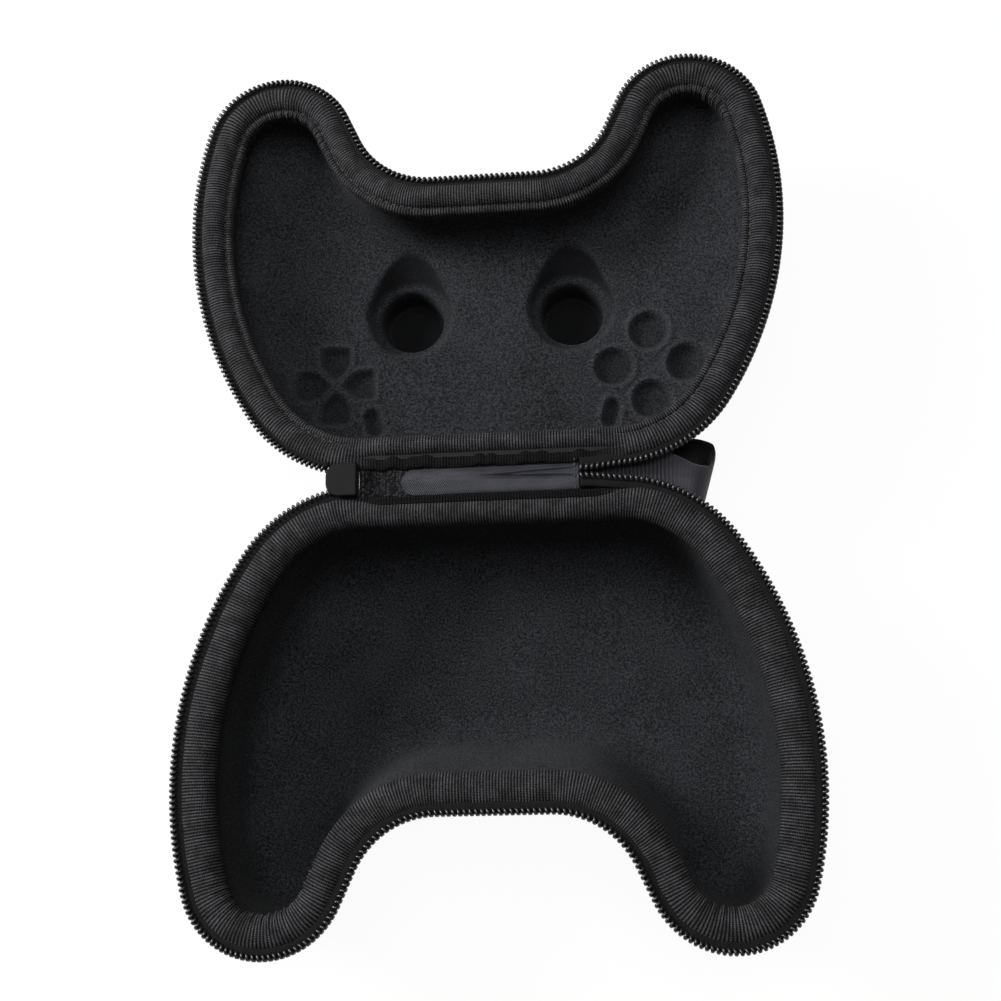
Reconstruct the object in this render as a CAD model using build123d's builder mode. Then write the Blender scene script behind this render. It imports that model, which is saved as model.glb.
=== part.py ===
"""Hard carrying case for a twin-grip game controller, lying open on its back.

Two moulded foam halves in the outline of the controller meet along a fabric hinge.
Each half has a fleece lining, an elastic binding over its rim, and a zip tape with
its row of teeth round the outside. The lid is moulded with recesses for the two
thumb sticks, the direction pad and the buttons.

Millimetres, +Z up. The origin is on the floor under the middle of the hinge line,
which runs along X at rim height. The base lies towards -Y and the lid towards +Y.
"""

import math
import os

from build123d import *

# Overall form
half_depth = 43.0            # rim plane to the floor, for both halves
lid_panel_depth = 27.8       # rim plane to the outside of the lid's flat panel
draft = 6.0                  # lean of the moulded walls, degrees
mesh_gap = 0.15              # each half's zip stops this far from the rim plane

# Outline of the zip's outer edge: arcs of one half, mirrored about X = 0
hinge_side = 1.2             # hinge line to the straight back edge
shoulder_radius = 42.0
flank_radius = 117.0
flank_centre_y = 84.6
horn_x = 63.8
horn_y = 110.0
horn_radius = 23.7
notch_y = 96.5               # hinge line to the front edge between the horns
notch_radius = 24.4
cross_run = 10.0             # straight run between horn arc and notch arc
notch_slope = 12.0           # how far the notch wall leans in, rim to floor

# Zip
chain_width = 2.2
chain_height = 2.7
tooth_height = 0.9
tooth_pitch = 2.6
tape_show = 2.0              # tape seen between the teeth and the binding
tape_thickness = 0.6
tape_drop = 7.0              # how far the sewn leg of the tape runs down
lid_zip_start_x = -47.7      # the lid's row stops at the mouth of the slider
base_zip_start_x = -41.0     # the base's row runs on between the slider's plates
zip_end_x = 27.0             # where both rows are sewn down

# Binding
binding_width = 8.0
binding_height = 8.7
binding_round = 3.6
binding_leg = 0.8            # outer leg of the binding, over the shell
binding_top = 2.0            # binding over the top of the shell wall

# Walls
wall = 4.0
lining = 0.8
outer_edge_radius = 12.0
inner_edge_radius = 9.0

# Lid recesses, places measured from the hinge line and the middle
stick_x = 25.8
stick_y = 60.0
mouth_half_width = 13.8
mouth_half_length = 17.5
mouth_shift = 3.5            # mouth's centre beyond the stick's, away from the hinge
stick_step_radius = 12.0
stick_step_depth = 5.0
cup_radius = 10.0
cup_floor_radius = 9.2
cup_depth = 10.2
dome_root_radius = 20.0
dome_tip_radius = 14.8
dome_round = 3.0
pad_x = -49.5
pad_y = 37.5
petal_width = 8.6
petal_inner = 2.4
petal_outer = 12.2
petal_corner = 1.6
button_x = 49.7
button_y = 39.8
button_spread = 11.4
button_radius = 5.6
pill_x = 37.2
pill_y = 24.6
pill_length = 8.4
pill_width = 4.2
pill_tilt = 14.0
mark_depth = 2.2             # how far pad, buttons and pills are sunk
mark_grow_outside = 1.6      # how much wider they are on the outside
cutter_reach = 6.0           # how far marks and mouths run up through the edge round

# Hinge
gusset_start_x = -38.0
gusset_thickness = 0.8
gusset_drop = 6.0
gusset_below_rim = 2.8
facing_start_x = -25.5
facing_width = 8.6
facing_thickness = 0.8
facing_round = 4.0
body_clearance = 0.3
stretch_reach = 20.0         # half width and height of the block that clears the zip at the hinge

# Slider and puller
slider_length = 9.2
slider_width = 10.0
slider_plate = 0.9
slider_plate_round = 0.54
slider_gap = 0.2             # between the slider's plates and the chain or tape
slider_lip = 0.9
slider_post_radius = 0.8
slider_round = 4.0
lug_length = 6.4
lug_height = 3.4
lug_thickness = 1.6
lug_bar = 0.9
lug_round = 1.2
puller_length = 24.0
puller_width = 6.4
puller_thickness = 1.5
puller_eye = 4.8
puller_eye_width = 1.92
puller_play = 0.08
puller_bar_radius = 0.6
puller_round = 2.4

# Hand strap
strap_width = 18.0
strap_root_width = 8.6
strap_thickness = 1.2
strap_end_x = 59.0           # centre of the loop's round end
strap_end_radius = 6.6
strap_root_radius = 1.4
strap_below_rim = 4.6
strap_spread_start_x = 46.0
strap_spread_end_x = 57.5

# Places worked out from the sizes above
tape_inset = chain_width
binding_inset = chain_width + tape_show
shell_inset = binding_inset + binding_leg
cavity_inset = shell_inset + wall
lining_inset = cavity_inset + lining
wall_top = half_depth - binding_top
zip_top = half_depth - mesh_gap
tape_top = zip_top - chain_height / 2
lid_panel_z = half_depth - lid_panel_depth
lid_cavity_z = lid_panel_z + wall
lid_floor_z = lid_cavity_z + lining
hinge_half_gap = hinge_side + binding_inset


def case_outline(inset, notch_in=0.0):
    """Closed sketch of one half on the +Y side, drawn in by inset from the zip's edge.

    All arcs keep their centres: convex radii lose the inset and the notch gains it.
    """
    flank_x = horn_x - math.sqrt((flank_radius - horn_radius) ** 2 - (horn_y - flank_centre_y) ** 2)
    shoulder_y = hinge_side + shoulder_radius
    shoulder_rise = shoulder_y - flank_centre_y
    shoulder_x = flank_x + math.sqrt((flank_radius - shoulder_radius) ** 2 - shoulder_rise**2)
    notch_centre_y = notch_y - notch_in + notch_radius
    reach = (horn_radius + notch_radius) ** 2 + cross_run**2
    notch_x = horn_x - math.sqrt(reach - (notch_centre_y - horn_y) ** 2)
    shoulder_turn = math.degrees(math.atan2(shoulder_rise, shoulder_x - flank_x))
    horn_turn = math.degrees(math.atan2(horn_y - flank_centre_y, horn_x - flank_x))
    to_notch = math.degrees(math.atan2(notch_centre_y - horn_y, notch_x - horn_x)) % 360
    cross_turn = to_notch - math.degrees(math.acos((horn_radius + notch_radius) / math.sqrt(reach)))
    with BuildSketch() as outline:
        with BuildLine():
            Line((0, hinge_side + inset), (shoulder_x, hinge_side + inset))
            CenterArc((shoulder_x, shoulder_y), shoulder_radius - inset, -90, shoulder_turn + 90)
            flank_sweep = horn_turn - shoulder_turn
            CenterArc((flank_x, flank_centre_y), flank_radius - inset, shoulder_turn, flank_sweep)
            horn = CenterArc((horn_x, horn_y), horn_radius - inset, horn_turn, cross_turn - horn_turn)
            notch_start = cross_turn - 180
            notch_sweep = -90 - notch_start
            notch = CenterArc((notch_x, notch_centre_y), notch_radius + inset, notch_start, notch_sweep)
            Line(horn @ 1, notch @ 0)
            Line(notch @ 1, (0, notch_y - notch_in - inset))
            mirror(about=Plane.YZ)
        make_face()
    return outline.sketch


def bowl(inset, floor_z, edge_radius, slope=0.0):
    """Closed moulded form of one half below the wall top, rounded at its floor."""
    depth = wall_top - floor_z
    lean = depth * math.tan(math.radians(draft))
    with BuildPart() as form:
        with BuildSketch(Plane.XY.offset(wall_top)):
            add(case_outline(inset))
        with BuildSketch(Plane.XY.offset(floor_z)):
            add(case_outline(inset + lean, slope * depth / half_depth))
        loft(ruled=True)
        fillet(form.faces().sort_by(Axis.Z)[0].edges(), edge_radius)
    return form.part


def stick_recesses(grow, floor_z):
    """Cutter for both thumb stick recesses: an oval mouth that slopes to a round terrace, and a cup."""
    terrace_z = floor_z - stick_step_depth
    with BuildPart() as cutter:
        for side in (-1, 1):
            with BuildSketch(Plane.XY.offset(floor_z)) as mouth:
                with Locations((side * stick_x, stick_y + mouth_shift)):
                    Ellipse(mouth_half_width + grow, mouth_half_length + grow)
            with BuildSketch(Plane.XY.offset(terrace_z)):
                with Locations((side * stick_x, stick_y)):
                    Circle(stick_step_radius + grow)
            loft()
            extrude(mouth.sketch, amount=cutter_reach)
            with Locations((side * stick_x, stick_y, terrace_z - cup_depth / 2)):
                Cone(cup_floor_radius + grow, cup_radius + grow, cup_depth)
    return cutter.part


def control_marks(grow):
    """Sketch of the four pad petals, the four buttons and the two small pills."""
    half_width = petal_width / 2 + grow
    with BuildSketch() as petal:
        with BuildLine():
            Polyline(
                (0, petal_inner - grow),
                (half_width, petal_inner + half_width - grow),
                (half_width, petal_outer + grow),
                (-half_width, petal_outer + grow),
                (-half_width, petal_inner + half_width - grow),
                close=True,
            )
        make_face()
        fillet(petal.vertices(), petal_corner)
    with BuildSketch() as marks:
        for turn in range(4):
            with Locations(Location((pad_x, pad_y, 0), (0, 0, 90 * turn))):
                add(petal.sketch)
        with Locations((button_x, button_y)):
            with PolarLocations(button_spread, 4):
                Circle(button_radius + grow)
        for side in (-1, 1):
            with Locations(Location((side * pill_x, pill_y, 0), (0, 0, 90 - side * pill_tilt))):
                SlotOverall(pill_length + 2 * grow, pill_width + 2 * grow)
    return marks.sketch


def mark_cutter(grow, floor_z):
    """Upright cutter that sinks the marks below the given floor."""
    with BuildPart() as cutter:
        with BuildSketch(Plane.XY.offset(floor_z - mark_depth)):
            add(control_marks(grow))
        extrude(amount=mark_depth + cutter_reach)
    return cutter.part


def hinge_stretch(start_x):
    """Block over the stretch of rim at the hinge that carries no zip."""
    with BuildPart() as block:
        with Locations(((start_x + zip_end_x) / 2, 0, half_depth)):
            Box(zip_end_x - start_x, 2 * stretch_reach, 2 * stretch_reach)
    return block.part


def tooth_outline(phase):
    """Points round the zip's edge that step in and out once per tooth.

    The way the edge runs round its area says which side of its tangent is inward.
    """
    edge = case_outline(0).faces()[0].outer_wire()
    count = 2 * round(edge.length / tooth_pitch)
    places = [(step + phase / 2) / count for step in range(count)]
    on_edge = [edge.position_at(place) for place in places]
    area = sum(p.X * q.Y - q.X * p.Y for p, q in zip(on_edge, on_edge[1:] + on_edge[:1]))
    turn = math.copysign(1, area)
    points = []
    for step, (place, point) in enumerate(zip(places, on_edge)):
        along = edge.tangent_at(place)
        inward = Vector(-along.Y, along.X, 0) * turn
        points.append(point + inward * (tooth_height * (step % 2)))
    return points


def rim_binding(form, hollow):
    """Elastic strip rolled over the rim of one half, round on top, open over the wall."""
    with BuildPart() as binding:
        with BuildSketch(Plane.XY.offset(zip_top - binding_height)):
            add(case_outline(binding_inset))
            add(case_outline(binding_inset + binding_width), mode=Mode.SUBTRACT)
        extrude(amount=binding_height)
        fillet(binding.faces().sort_by(Axis.Z)[-1].edges(), binding_round)
        add(form - hollow, mode=Mode.SUBTRACT)
    return binding.part


def rim_tape(start_x):
    """Zip tape: a leg sewn down beside the binding and a flange out to the teeth."""
    with BuildPart() as tape:
        with BuildSketch(Plane.XY.offset(tape_top - tape_thickness)):
            add(case_outline(tape_inset))
            add(case_outline(binding_inset), mode=Mode.SUBTRACT)
        extrude(amount=tape_thickness)
        with BuildSketch(Plane.XY.offset(tape_top - tape_drop)):
            add(case_outline(binding_inset - tape_thickness))
            add(case_outline(binding_inset), mode=Mode.SUBTRACT)
        extrude(amount=tape_drop)
        add(hinge_stretch(start_x), mode=Mode.SUBTRACT)
    return tape.part


def rim_teeth(start_x, phase):
    """One row of zip teeth: a comb round the outer edge of the tape."""
    with BuildPart() as teeth:
        with BuildSketch(Plane.XY.offset(zip_top - chain_height)):
            with BuildLine():
                Polyline(*tooth_outline(phase), close=True)
            make_face()
            add(case_outline(chain_width), mode=Mode.SUBTRACT)
        extrude(amount=chain_height)
        add(hinge_stretch(start_x), mode=Mode.SUBTRACT)
    return teeth.part


# Moulded forms shared by the pieces of each half
base_form = bowl(shell_inset, 0, outer_edge_radius, notch_slope)
base_cavity = bowl(cavity_inset, wall, inner_edge_radius, notch_slope)
base_hollow = bowl(lining_inset, wall + lining, inner_edge_radius, notch_slope)
lid_form = bowl(shell_inset, lid_panel_z, outer_edge_radius)
lid_cavity = bowl(cavity_inset, lid_cavity_z, inner_edge_radius)
lid_hollow = bowl(lining_inset, lid_floor_z, inner_edge_radius)

# Base: shell, lining, binding, tape and teeth, mirrored to the -Y side
with BuildPart() as base_shell:
    add(base_form)
    add(base_cavity, mode=Mode.SUBTRACT)
    mirror(about=Plane.XZ, mode=Mode.REPLACE)
base_shell.part.label = "base_shell"

with BuildPart() as base_lining:
    add(base_cavity)
    add(base_hollow, mode=Mode.SUBTRACT)
    mirror(about=Plane.XZ, mode=Mode.REPLACE)
base_lining.part.label = "base_lining"

with BuildPart() as base_binding:
    add(rim_binding(base_form, base_hollow))
    mirror(about=Plane.XZ, mode=Mode.REPLACE)
base_binding.part.label = "base_binding"

with BuildPart() as base_zip_tape:
    add(rim_tape(base_zip_start_x))
    mirror(about=Plane.XZ, mode=Mode.REPLACE)
base_zip_tape.part.label = "base_zip_tape"

with BuildPart() as base_zip_teeth:
    add(rim_teeth(base_zip_start_x, 0))
    mirror(about=Plane.XZ, mode=Mode.REPLACE)
base_zip_teeth.part.label = "base_zip_teeth"

# Lid shell, with stick domes and shallow bumps outside and recesses inside
with BuildPart() as lid_domes:
    for side in (-1, 1):
        with Locations((side * stick_x, stick_y, lid_panel_z / 2)):
            Cone(dome_tip_radius, dome_root_radius, lid_panel_z)
    fillet(lid_domes.faces().sort_by(Axis.Z)[:2].edges(), dome_round)

with BuildPart() as lid_bumps:
    with BuildSketch(Plane.XY.offset(lid_panel_z - mark_depth)):
        add(control_marks(mark_grow_outside))
    extrude(amount=mark_depth + cutter_reach)

with BuildPart() as lid_shell:
    add(lid_form)
    add(lid_domes.part)
    add(lid_bumps.part)
    add(lid_cavity, mode=Mode.SUBTRACT)
    add(stick_recesses(lining, lid_cavity_z), mode=Mode.SUBTRACT)
    add(mark_cutter(lining, lid_cavity_z), mode=Mode.SUBTRACT)
lid_shell.part.label = "lid_shell"

with BuildPart() as lid_lining:
    add(lid_cavity)
    add(stick_recesses(lining, lid_cavity_z))
    add(mark_cutter(lining, lid_cavity_z))
    add(lid_hollow, mode=Mode.SUBTRACT)
    add(stick_recesses(0, lid_floor_z), mode=Mode.SUBTRACT)
    add(mark_cutter(0, lid_floor_z), mode=Mode.SUBTRACT)
lid_lining.part.label = "lid_lining"

with BuildPart() as lid_binding:
    add(rim_binding(lid_form, lid_hollow))
lid_binding.part.label = "lid_binding"

with BuildPart() as lid_zip_tape:
    add(rim_tape(lid_zip_start_x))
lid_zip_tape.part.label = "lid_zip_tape"

with BuildPart() as lid_zip_teeth:
    add(rim_teeth(lid_zip_start_x, 1))
lid_zip_teeth.part.label = "lid_zip_teeth"

# Fabric hinge: knit gusset between the rims, and a satin facing on it
gusset_top = half_depth - gusset_below_rim
with BuildPart() as hinge_gusset:
    with BuildSketch(Plane.YZ.offset(gusset_start_x)):
        with BuildLine():
            Polyline(
                (-hinge_half_gap, gusset_top - gusset_drop),
                (-hinge_half_gap, gusset_top),
                (hinge_half_gap - body_clearance, gusset_top),
                (hinge_half_gap - body_clearance, gusset_top - gusset_drop),
                (hinge_half_gap - body_clearance - gusset_thickness, gusset_top - gusset_drop),
                (hinge_half_gap - body_clearance - gusset_thickness, gusset_top - gusset_thickness),
                (-hinge_half_gap + gusset_thickness, gusset_top - gusset_thickness),
                (-hinge_half_gap + gusset_thickness, gusset_top - gusset_drop),
                close=True,
            )
        make_face()
    extrude(amount=zip_end_x - gusset_start_x)
hinge_gusset.part.label = "hinge_gusset"

facing_length = zip_end_x - body_clearance - facing_start_x
with BuildPart() as hinge_facing:
    with BuildSketch(Plane.XY.offset(gusset_top)) as facing_plan:
        with Locations((facing_start_x + facing_length / 2, 0)):
            Rectangle(facing_length, facing_width)
        fillet(facing_plan.vertices().group_by(Axis.X)[0], facing_round)
    extrude(amount=facing_thickness)
hinge_facing.part.label = "hinge_facing"

# Zip slider: two plates joined by a post, with lips that close in over the tape
slider_x = lid_zip_start_x + body_clearance + slider_length / 2
plate_top_z = zip_top + slider_gap + slider_plate
plate_bottom_z = zip_top - chain_height - slider_gap - slider_plate
with BuildPart() as zip_slider:
    for plate_z in (plate_top_z - slider_plate, plate_bottom_z):
        with BuildSketch(Plane.XY.offset(plate_z)) as plate_plan:
            with Locations((slider_x, 0)):
                Rectangle(slider_length, slider_width)
            fillet(plate_plan.vertices().group_by(Axis.X)[0], slider_round)
        extrude(amount=slider_plate)
    fillet(zip_slider.faces().sort_by(Axis.Z)[-1].edges(), slider_plate_round)
    with BuildSketch(Plane.XY.offset(plate_bottom_z)):
        with Locations((slider_x - slider_length / 2 + 2 * slider_post_radius, 0)):
            Circle(slider_post_radius)
    extrude(amount=plate_top_z - plate_bottom_z - slider_plate / 2)
    lip_x = slider_x + slider_round / 2
    lip_y = slider_width / 2 - slider_lip / 2
    lip_length = slider_length - slider_round
    upper_lip_z = tape_top + slider_gap
    lower_lip_z = tape_top - tape_thickness - slider_gap
    for side in (-1, 1):
        with BuildSketch(Plane.XY.offset(upper_lip_z)):
            with Locations((lip_x, side * lip_y)):
                Rectangle(lip_length, slider_lip)
        extrude(amount=plate_top_z - slider_plate - upper_lip_z)
        with BuildSketch(Plane.XY.offset(plate_bottom_z + slider_plate)):
            with Locations((lip_x, side * lip_y)):
                Rectangle(lip_length, slider_lip)
        extrude(amount=lower_lip_z - plate_bottom_z - slider_plate)
    with BuildSketch(Plane.XZ.offset(-lug_thickness / 2)) as lug_side:
        with Locations((slider_x, plate_bottom_z - lug_height / 2)):
            Rectangle(lug_length, lug_height)
        fillet(lug_side.vertices().group_by(Axis.Y)[0], lug_round)
        with Locations((slider_x, plate_bottom_z - (lug_height - lug_bar) / 2)):
            Rectangle(lug_length - 2 * lug_bar, lug_height - lug_bar, mode=Mode.SUBTRACT)
    extrude(amount=lug_thickness)
zip_slider.part.label = "zip_slider"

# Puller: a flat tab whose crossbar hangs in the slider's lug
pivot_z = plate_bottom_z - lug_height + lug_bar + puller_bar_radius + puller_play
with BuildPart() as zip_puller:
    with BuildSketch(Plane.YZ.offset(slider_x - puller_thickness / 2)) as tab:
        with Locations((0, pivot_z + puller_bar_radius - puller_length / 2)):
            Rectangle(puller_width, puller_length)
        fillet(tab.vertices().group_by(Axis.Y)[0], puller_round)
        fillet(tab.vertices().group_by(Axis.Y)[-1], puller_bar_radius)
        with Locations((0, pivot_z + puller_bar_radius - puller_eye / 2)):
            Rectangle(puller_eye_width, puller_eye, mode=Mode.SUBTRACT)
    extrude(amount=puller_thickness)
    with BuildSketch(Plane.XZ.offset(-puller_width / 4)):
        with Locations((slider_x, pivot_z)):
            Circle(puller_bar_radius)
    extrude(amount=puller_width / 2)
zip_puller.part.label = "zip_puller"

# Hand strap: a flat loop of webbing, gathered where it is sewn in beside the hinge
strap_top_z = half_depth - strap_below_rim
strap_root_x = zip_end_x + body_clearance + strap_root_radius
strap_tip_x = strap_end_x + strap_end_radius
with BuildPart() as hand_strap:
    with BuildSketch(Plane.XZ.offset(-strap_width / 2)):
        for shrink, use in ((0, Mode.ADD), (strap_thickness, Mode.SUBTRACT)):
            with BuildSketch(mode=Mode.PRIVATE) as drop:
                with Locations((strap_end_x, strap_top_z - strap_end_radius)):
                    Circle(strap_end_radius - shrink)
                with Locations((strap_root_x, strap_top_z - strap_root_radius)):
                    Circle(strap_root_radius - shrink)
                make_hull()
            add(drop.sketch, mode=use)
    extrude(amount=strap_width)
    with BuildSketch(Plane.XY.offset(strap_top_z - 2 * strap_end_radius)):
        with BuildLine():
            Polyline(
                (strap_root_x - strap_root_radius, strap_root_width / 2),
                (strap_spread_start_x, strap_root_width / 2),
                (strap_spread_end_x, strap_width / 2),
                (strap_tip_x, strap_width / 2),
                (strap_tip_x, -strap_width / 2),
                (strap_spread_end_x, -strap_width / 2),
                (strap_spread_start_x, -strap_root_width / 2),
                (strap_root_x - strap_root_radius, -strap_root_width / 2),
                close=True,
            )
        make_face()
    extrude(amount=2 * strap_end_radius, mode=Mode.INTERSECT)
hand_strap.part.label = "hand_strap"

pieces = [
    base_shell, base_lining, base_binding, base_zip_tape, base_zip_teeth,
    lid_shell, lid_lining, lid_binding, lid_zip_tape, lid_zip_teeth,
    hinge_gusset, hinge_facing, zip_slider, zip_puller, hand_strap,
]
os.makedirs("parts", exist_ok=True)
for piece in pieces:
    export_step(piece.part, f"parts/{piece.part.label}.step")
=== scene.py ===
"""Looks of the open controller carrying case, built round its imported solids.

Every piece is a surface of two parameters: a section carried round the outline of one
half, or a sheet. Sizes are metres in the frame of the solids, and the lid's half is
worked out first and mirrored in the hinge plane for the base.
"""

import math

import bmesh
import bpy
import numpy as np
from mathutils import Matrix, Vector


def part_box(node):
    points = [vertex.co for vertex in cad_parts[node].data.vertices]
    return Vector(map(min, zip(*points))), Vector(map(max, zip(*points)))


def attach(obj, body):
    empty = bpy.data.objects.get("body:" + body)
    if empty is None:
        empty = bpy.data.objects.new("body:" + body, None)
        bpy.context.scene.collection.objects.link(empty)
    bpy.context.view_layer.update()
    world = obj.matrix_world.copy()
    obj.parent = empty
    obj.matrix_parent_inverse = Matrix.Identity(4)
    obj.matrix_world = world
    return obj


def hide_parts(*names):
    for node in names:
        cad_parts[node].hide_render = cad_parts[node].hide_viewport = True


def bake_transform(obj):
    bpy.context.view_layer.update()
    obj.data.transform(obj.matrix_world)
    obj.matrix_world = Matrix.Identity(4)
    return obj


bl_info = {
    "name": "Carrying case looks",
    "version": (1, 0, 0),
    "blender": (4, 5, 0),
    "location": "View3D > Sidebar > Case",
    "description": "Linings, bindings, zip, hinge, strap and finishes of a moulded carrying case",
    "category": "Object",
}

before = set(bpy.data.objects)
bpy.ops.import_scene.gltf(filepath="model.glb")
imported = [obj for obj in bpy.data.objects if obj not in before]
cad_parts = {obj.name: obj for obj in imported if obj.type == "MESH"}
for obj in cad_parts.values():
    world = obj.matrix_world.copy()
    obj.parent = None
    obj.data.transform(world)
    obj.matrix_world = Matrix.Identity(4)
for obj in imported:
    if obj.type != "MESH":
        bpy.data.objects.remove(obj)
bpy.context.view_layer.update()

MM = 0.001
BINDING_FOOT, RIM_TOP = [corner.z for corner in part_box("lid_binding")]
CHAIN_FOOT, CHAIN_TOP = [corner.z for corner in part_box("lid_zip_teeth")]
# How far each row is drawn to the hinge line beside the facing.
HINGE_DRAW = 0.00105
# Places of the colour sockets of a mix node.
MIX_DARK = 6
MIX_LIGHT = 7
MIX_RESULT = 2
# Turns of the horn's and the notch's arc, for the share of points that each gets.
HORN_SWEEP = math.radians(151)
NOTCH_SWEEP = math.radians(82)
# Rows of a binding's section in its outer leg, and in the fold or ledge at the hinge.
LEG_ROWS = 6
FOLD_ROWS = {"lid": 12, "base": 8}
# Points round a coil's thread or a stitch.
RING = np.arange(6) * math.tau / 6


def size(name, description, default):
    """A length that a user may change."""
    return bpy.props.FloatProperty(
        name=name, description=description, default=default, min=0.0, unit="LENGTH", precision=5)


def share(name, description, default):
    """A plain factor that a user may change."""
    return bpy.props.FloatProperty(name=name, description=description, default=default)


def colour(name, description, default):
    """A linear colour that a user may change."""
    return bpy.props.FloatVectorProperty(
        name=name, description=description, default=default, subtype="COLOR", size=3, min=0.0, max=1.0)


def vector(name, description, default, subtype):
    """A place or a direction that a user may change."""
    return bpy.props.FloatVectorProperty(
        name=name, description=description, default=default, subtype=subtype, size=3, precision=5)


class CaseOutline(bpy.types.PropertyGroup):
    """Zip edge of the lid's half as arcs of its right side, mirrored about X = 0."""

    hinge_side: size("Hinge side", "Hinge line to the straight back edge", 0.0012)
    shoulder_radius: size("Shoulder radius", "Corner beside the hinge", 0.042)
    flank_radius: size("Flank radius", "Long side of the case", 0.117)
    flank_y: size("Flank centre", "Where the flank's centre lies from the hinge", 0.0846)
    horn_x: size("Horn place", "Centre of the grip end from the middle", 0.0638)
    horn_y: size("Horn reach", "Centre of the grip end from the hinge", 0.110)
    horn_radius: size("Horn radius", "Round end over a grip", 0.0237)
    notch_y: size("Notch reach", "Front edge between the grips from the hinge", 0.0965)
    notch_radius: size("Notch radius", "Inside corner between grip and front edge", 0.0244)
    cross_run: size("Cross run", "Straight run between horn and notch arcs", 0.010)
    step: size("Step", "Spacing of the points round the edge", 0.0005)


class CaseRim(bpy.types.PropertyGroup):
    """Binding, tape and coil round the rim. Insets are measured from the zip's edge."""

    chain_width: size("Chain width", "How far the coil covers the tape", 0.0022)
    tape_inset: size("Tape inset", "Zip edge to the sewn leg and the binding's foot", 0.0042)
    tape_top: size("Tape top", "Height of the tape's upper side", 0.0415)
    tape_thickness: size("Tape thickness", "Woven tape", 0.0006)
    tape_drop: size("Tape drop", "How far the sewn leg runs down", 0.007)
    binding_width: size("Binding width", "Across the rim", 0.008)
    bulge: size("Bulge", "How far the binding bulges out over the tape", 0.0019)
    hinge_shift: size("Hinge shift", "How far the base's binding lies back at the hinge", 0.0022)
    rib_pitch: size("Rib pitch", "One rib of the elastic to the next", 0.00086)
    coil_pitch: size("Coil pitch", "One turn of the coil to the next", 0.0016)
    thread_radius: size("Thread radius", "Monofilament of the coil", 0.00044)
    stitch_pitch: size("Stitch pitch", "One stitch to the next", 0.0024)
    lid_row_end: size("Lid row end", "Where the lid's row stops, left of the middle", 0.0477)
    base_row_end: size("Base row end", "Where the base's row stops, left of the middle", 0.041)
    row_start: size("Row start", "Where both rows are sewn down, right of the middle", 0.027)


class CaseLining(bpy.types.PropertyGroup):
    """Inner surface of both linings and the recesses of the lid."""

    inset: size("Lining inset", "Zip edge to the lining at the wall's top", 0.0098)
    wall_top: size("Wall top", "Height of the wall's top", 0.041)
    wall_start: size("Wall start", "Height where the lining comes out of the binding", 0.0372)
    draft: share("Draft", "Lean of the walls, in degrees", 6.0)
    edge_radius: size("Edge radius", "Round between wall and floor", 0.009)
    base_floor: size("Base floor", "Height of the base's floor", 0.0048)
    lid_floor: size("Lid floor", "Height of the lid's floor as it lies open", 0.020)
    notch_slope: size("Notch slope", "How far the base's front wall leans in, rim to floor", 0.012)
    half_depth: size("Half depth", "Rim plane to the floor of either half", 0.043)
    stick_x: size("Stick place", "Stick recess from the middle", 0.0258)
    stick_y: size("Stick reach", "Stick recess from the hinge", 0.0597)
    mouth_half_width: size("Mouth half width", "Oval mouth of a stick recess, along the hinge", 0.0138)
    mouth_half_length: size("Mouth half length", "Oval mouth of a stick recess, across the hinge", 0.0177)
    mouth_shift: size("Mouth shift", "Mouth's centre beyond the stick's", 0.0036)
    step_radius: size("Step radius", "Terrace round the cup", 0.0122)
    step_depth: size("Step depth", "Terrace below the floor", 0.005)
    cup_radius: size("Cup radius", "Cup at the terrace", 0.0102)
    cup_floor_radius: size("Cup floor radius", "Cup at its bottom", 0.0095)
    cup_depth: size("Cup depth", "Cup below the terrace", 0.0102)
    pad_x: size("Pad place", "Pad recess left of the middle", 0.0495)
    pad_y: size("Pad reach", "Pad recess from the hinge", 0.0371)
    petal_width: size("Petal width", "Across one petal", 0.0086)
    petal_inner: size("Petal inner", "Point of a petal from the pad's centre", 0.0024)
    petal_outer: size("Petal outer", "Outer edge of a petal", 0.0122)
    button_x: size("Button place", "Buttons' centre right of the middle", 0.0499)
    button_y: size("Button reach", "Buttons' centre from the hinge", 0.0394)
    button_spread: size("Button spread", "Buttons from their centre", 0.0113)
    button_radius: size("Button radius", "One button recess", 0.0056)
    pill_x: size("Pill place", "Pill recess from the middle", 0.0373)
    pill_y: size("Pill reach", "Pill recess from the hinge", 0.0243)
    pill_length: size("Pill length", "Pill recess", 0.0084)
    pill_width: size("Pill width", "Pill recess", 0.0042)
    mark_depth: size("Mark depth", "How far pad, buttons and pills are sunk", 0.0025)
    mark_edge: size("Mark edge", "Softness of their edges", 0.0011)
    mark_lip: size("Mark lip", "How far the fleece bulges up round them", 0.0005)
    grip_rise: size("Grip rise", "How far the lid's floor climbs towards the grips", 0.007)


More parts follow.
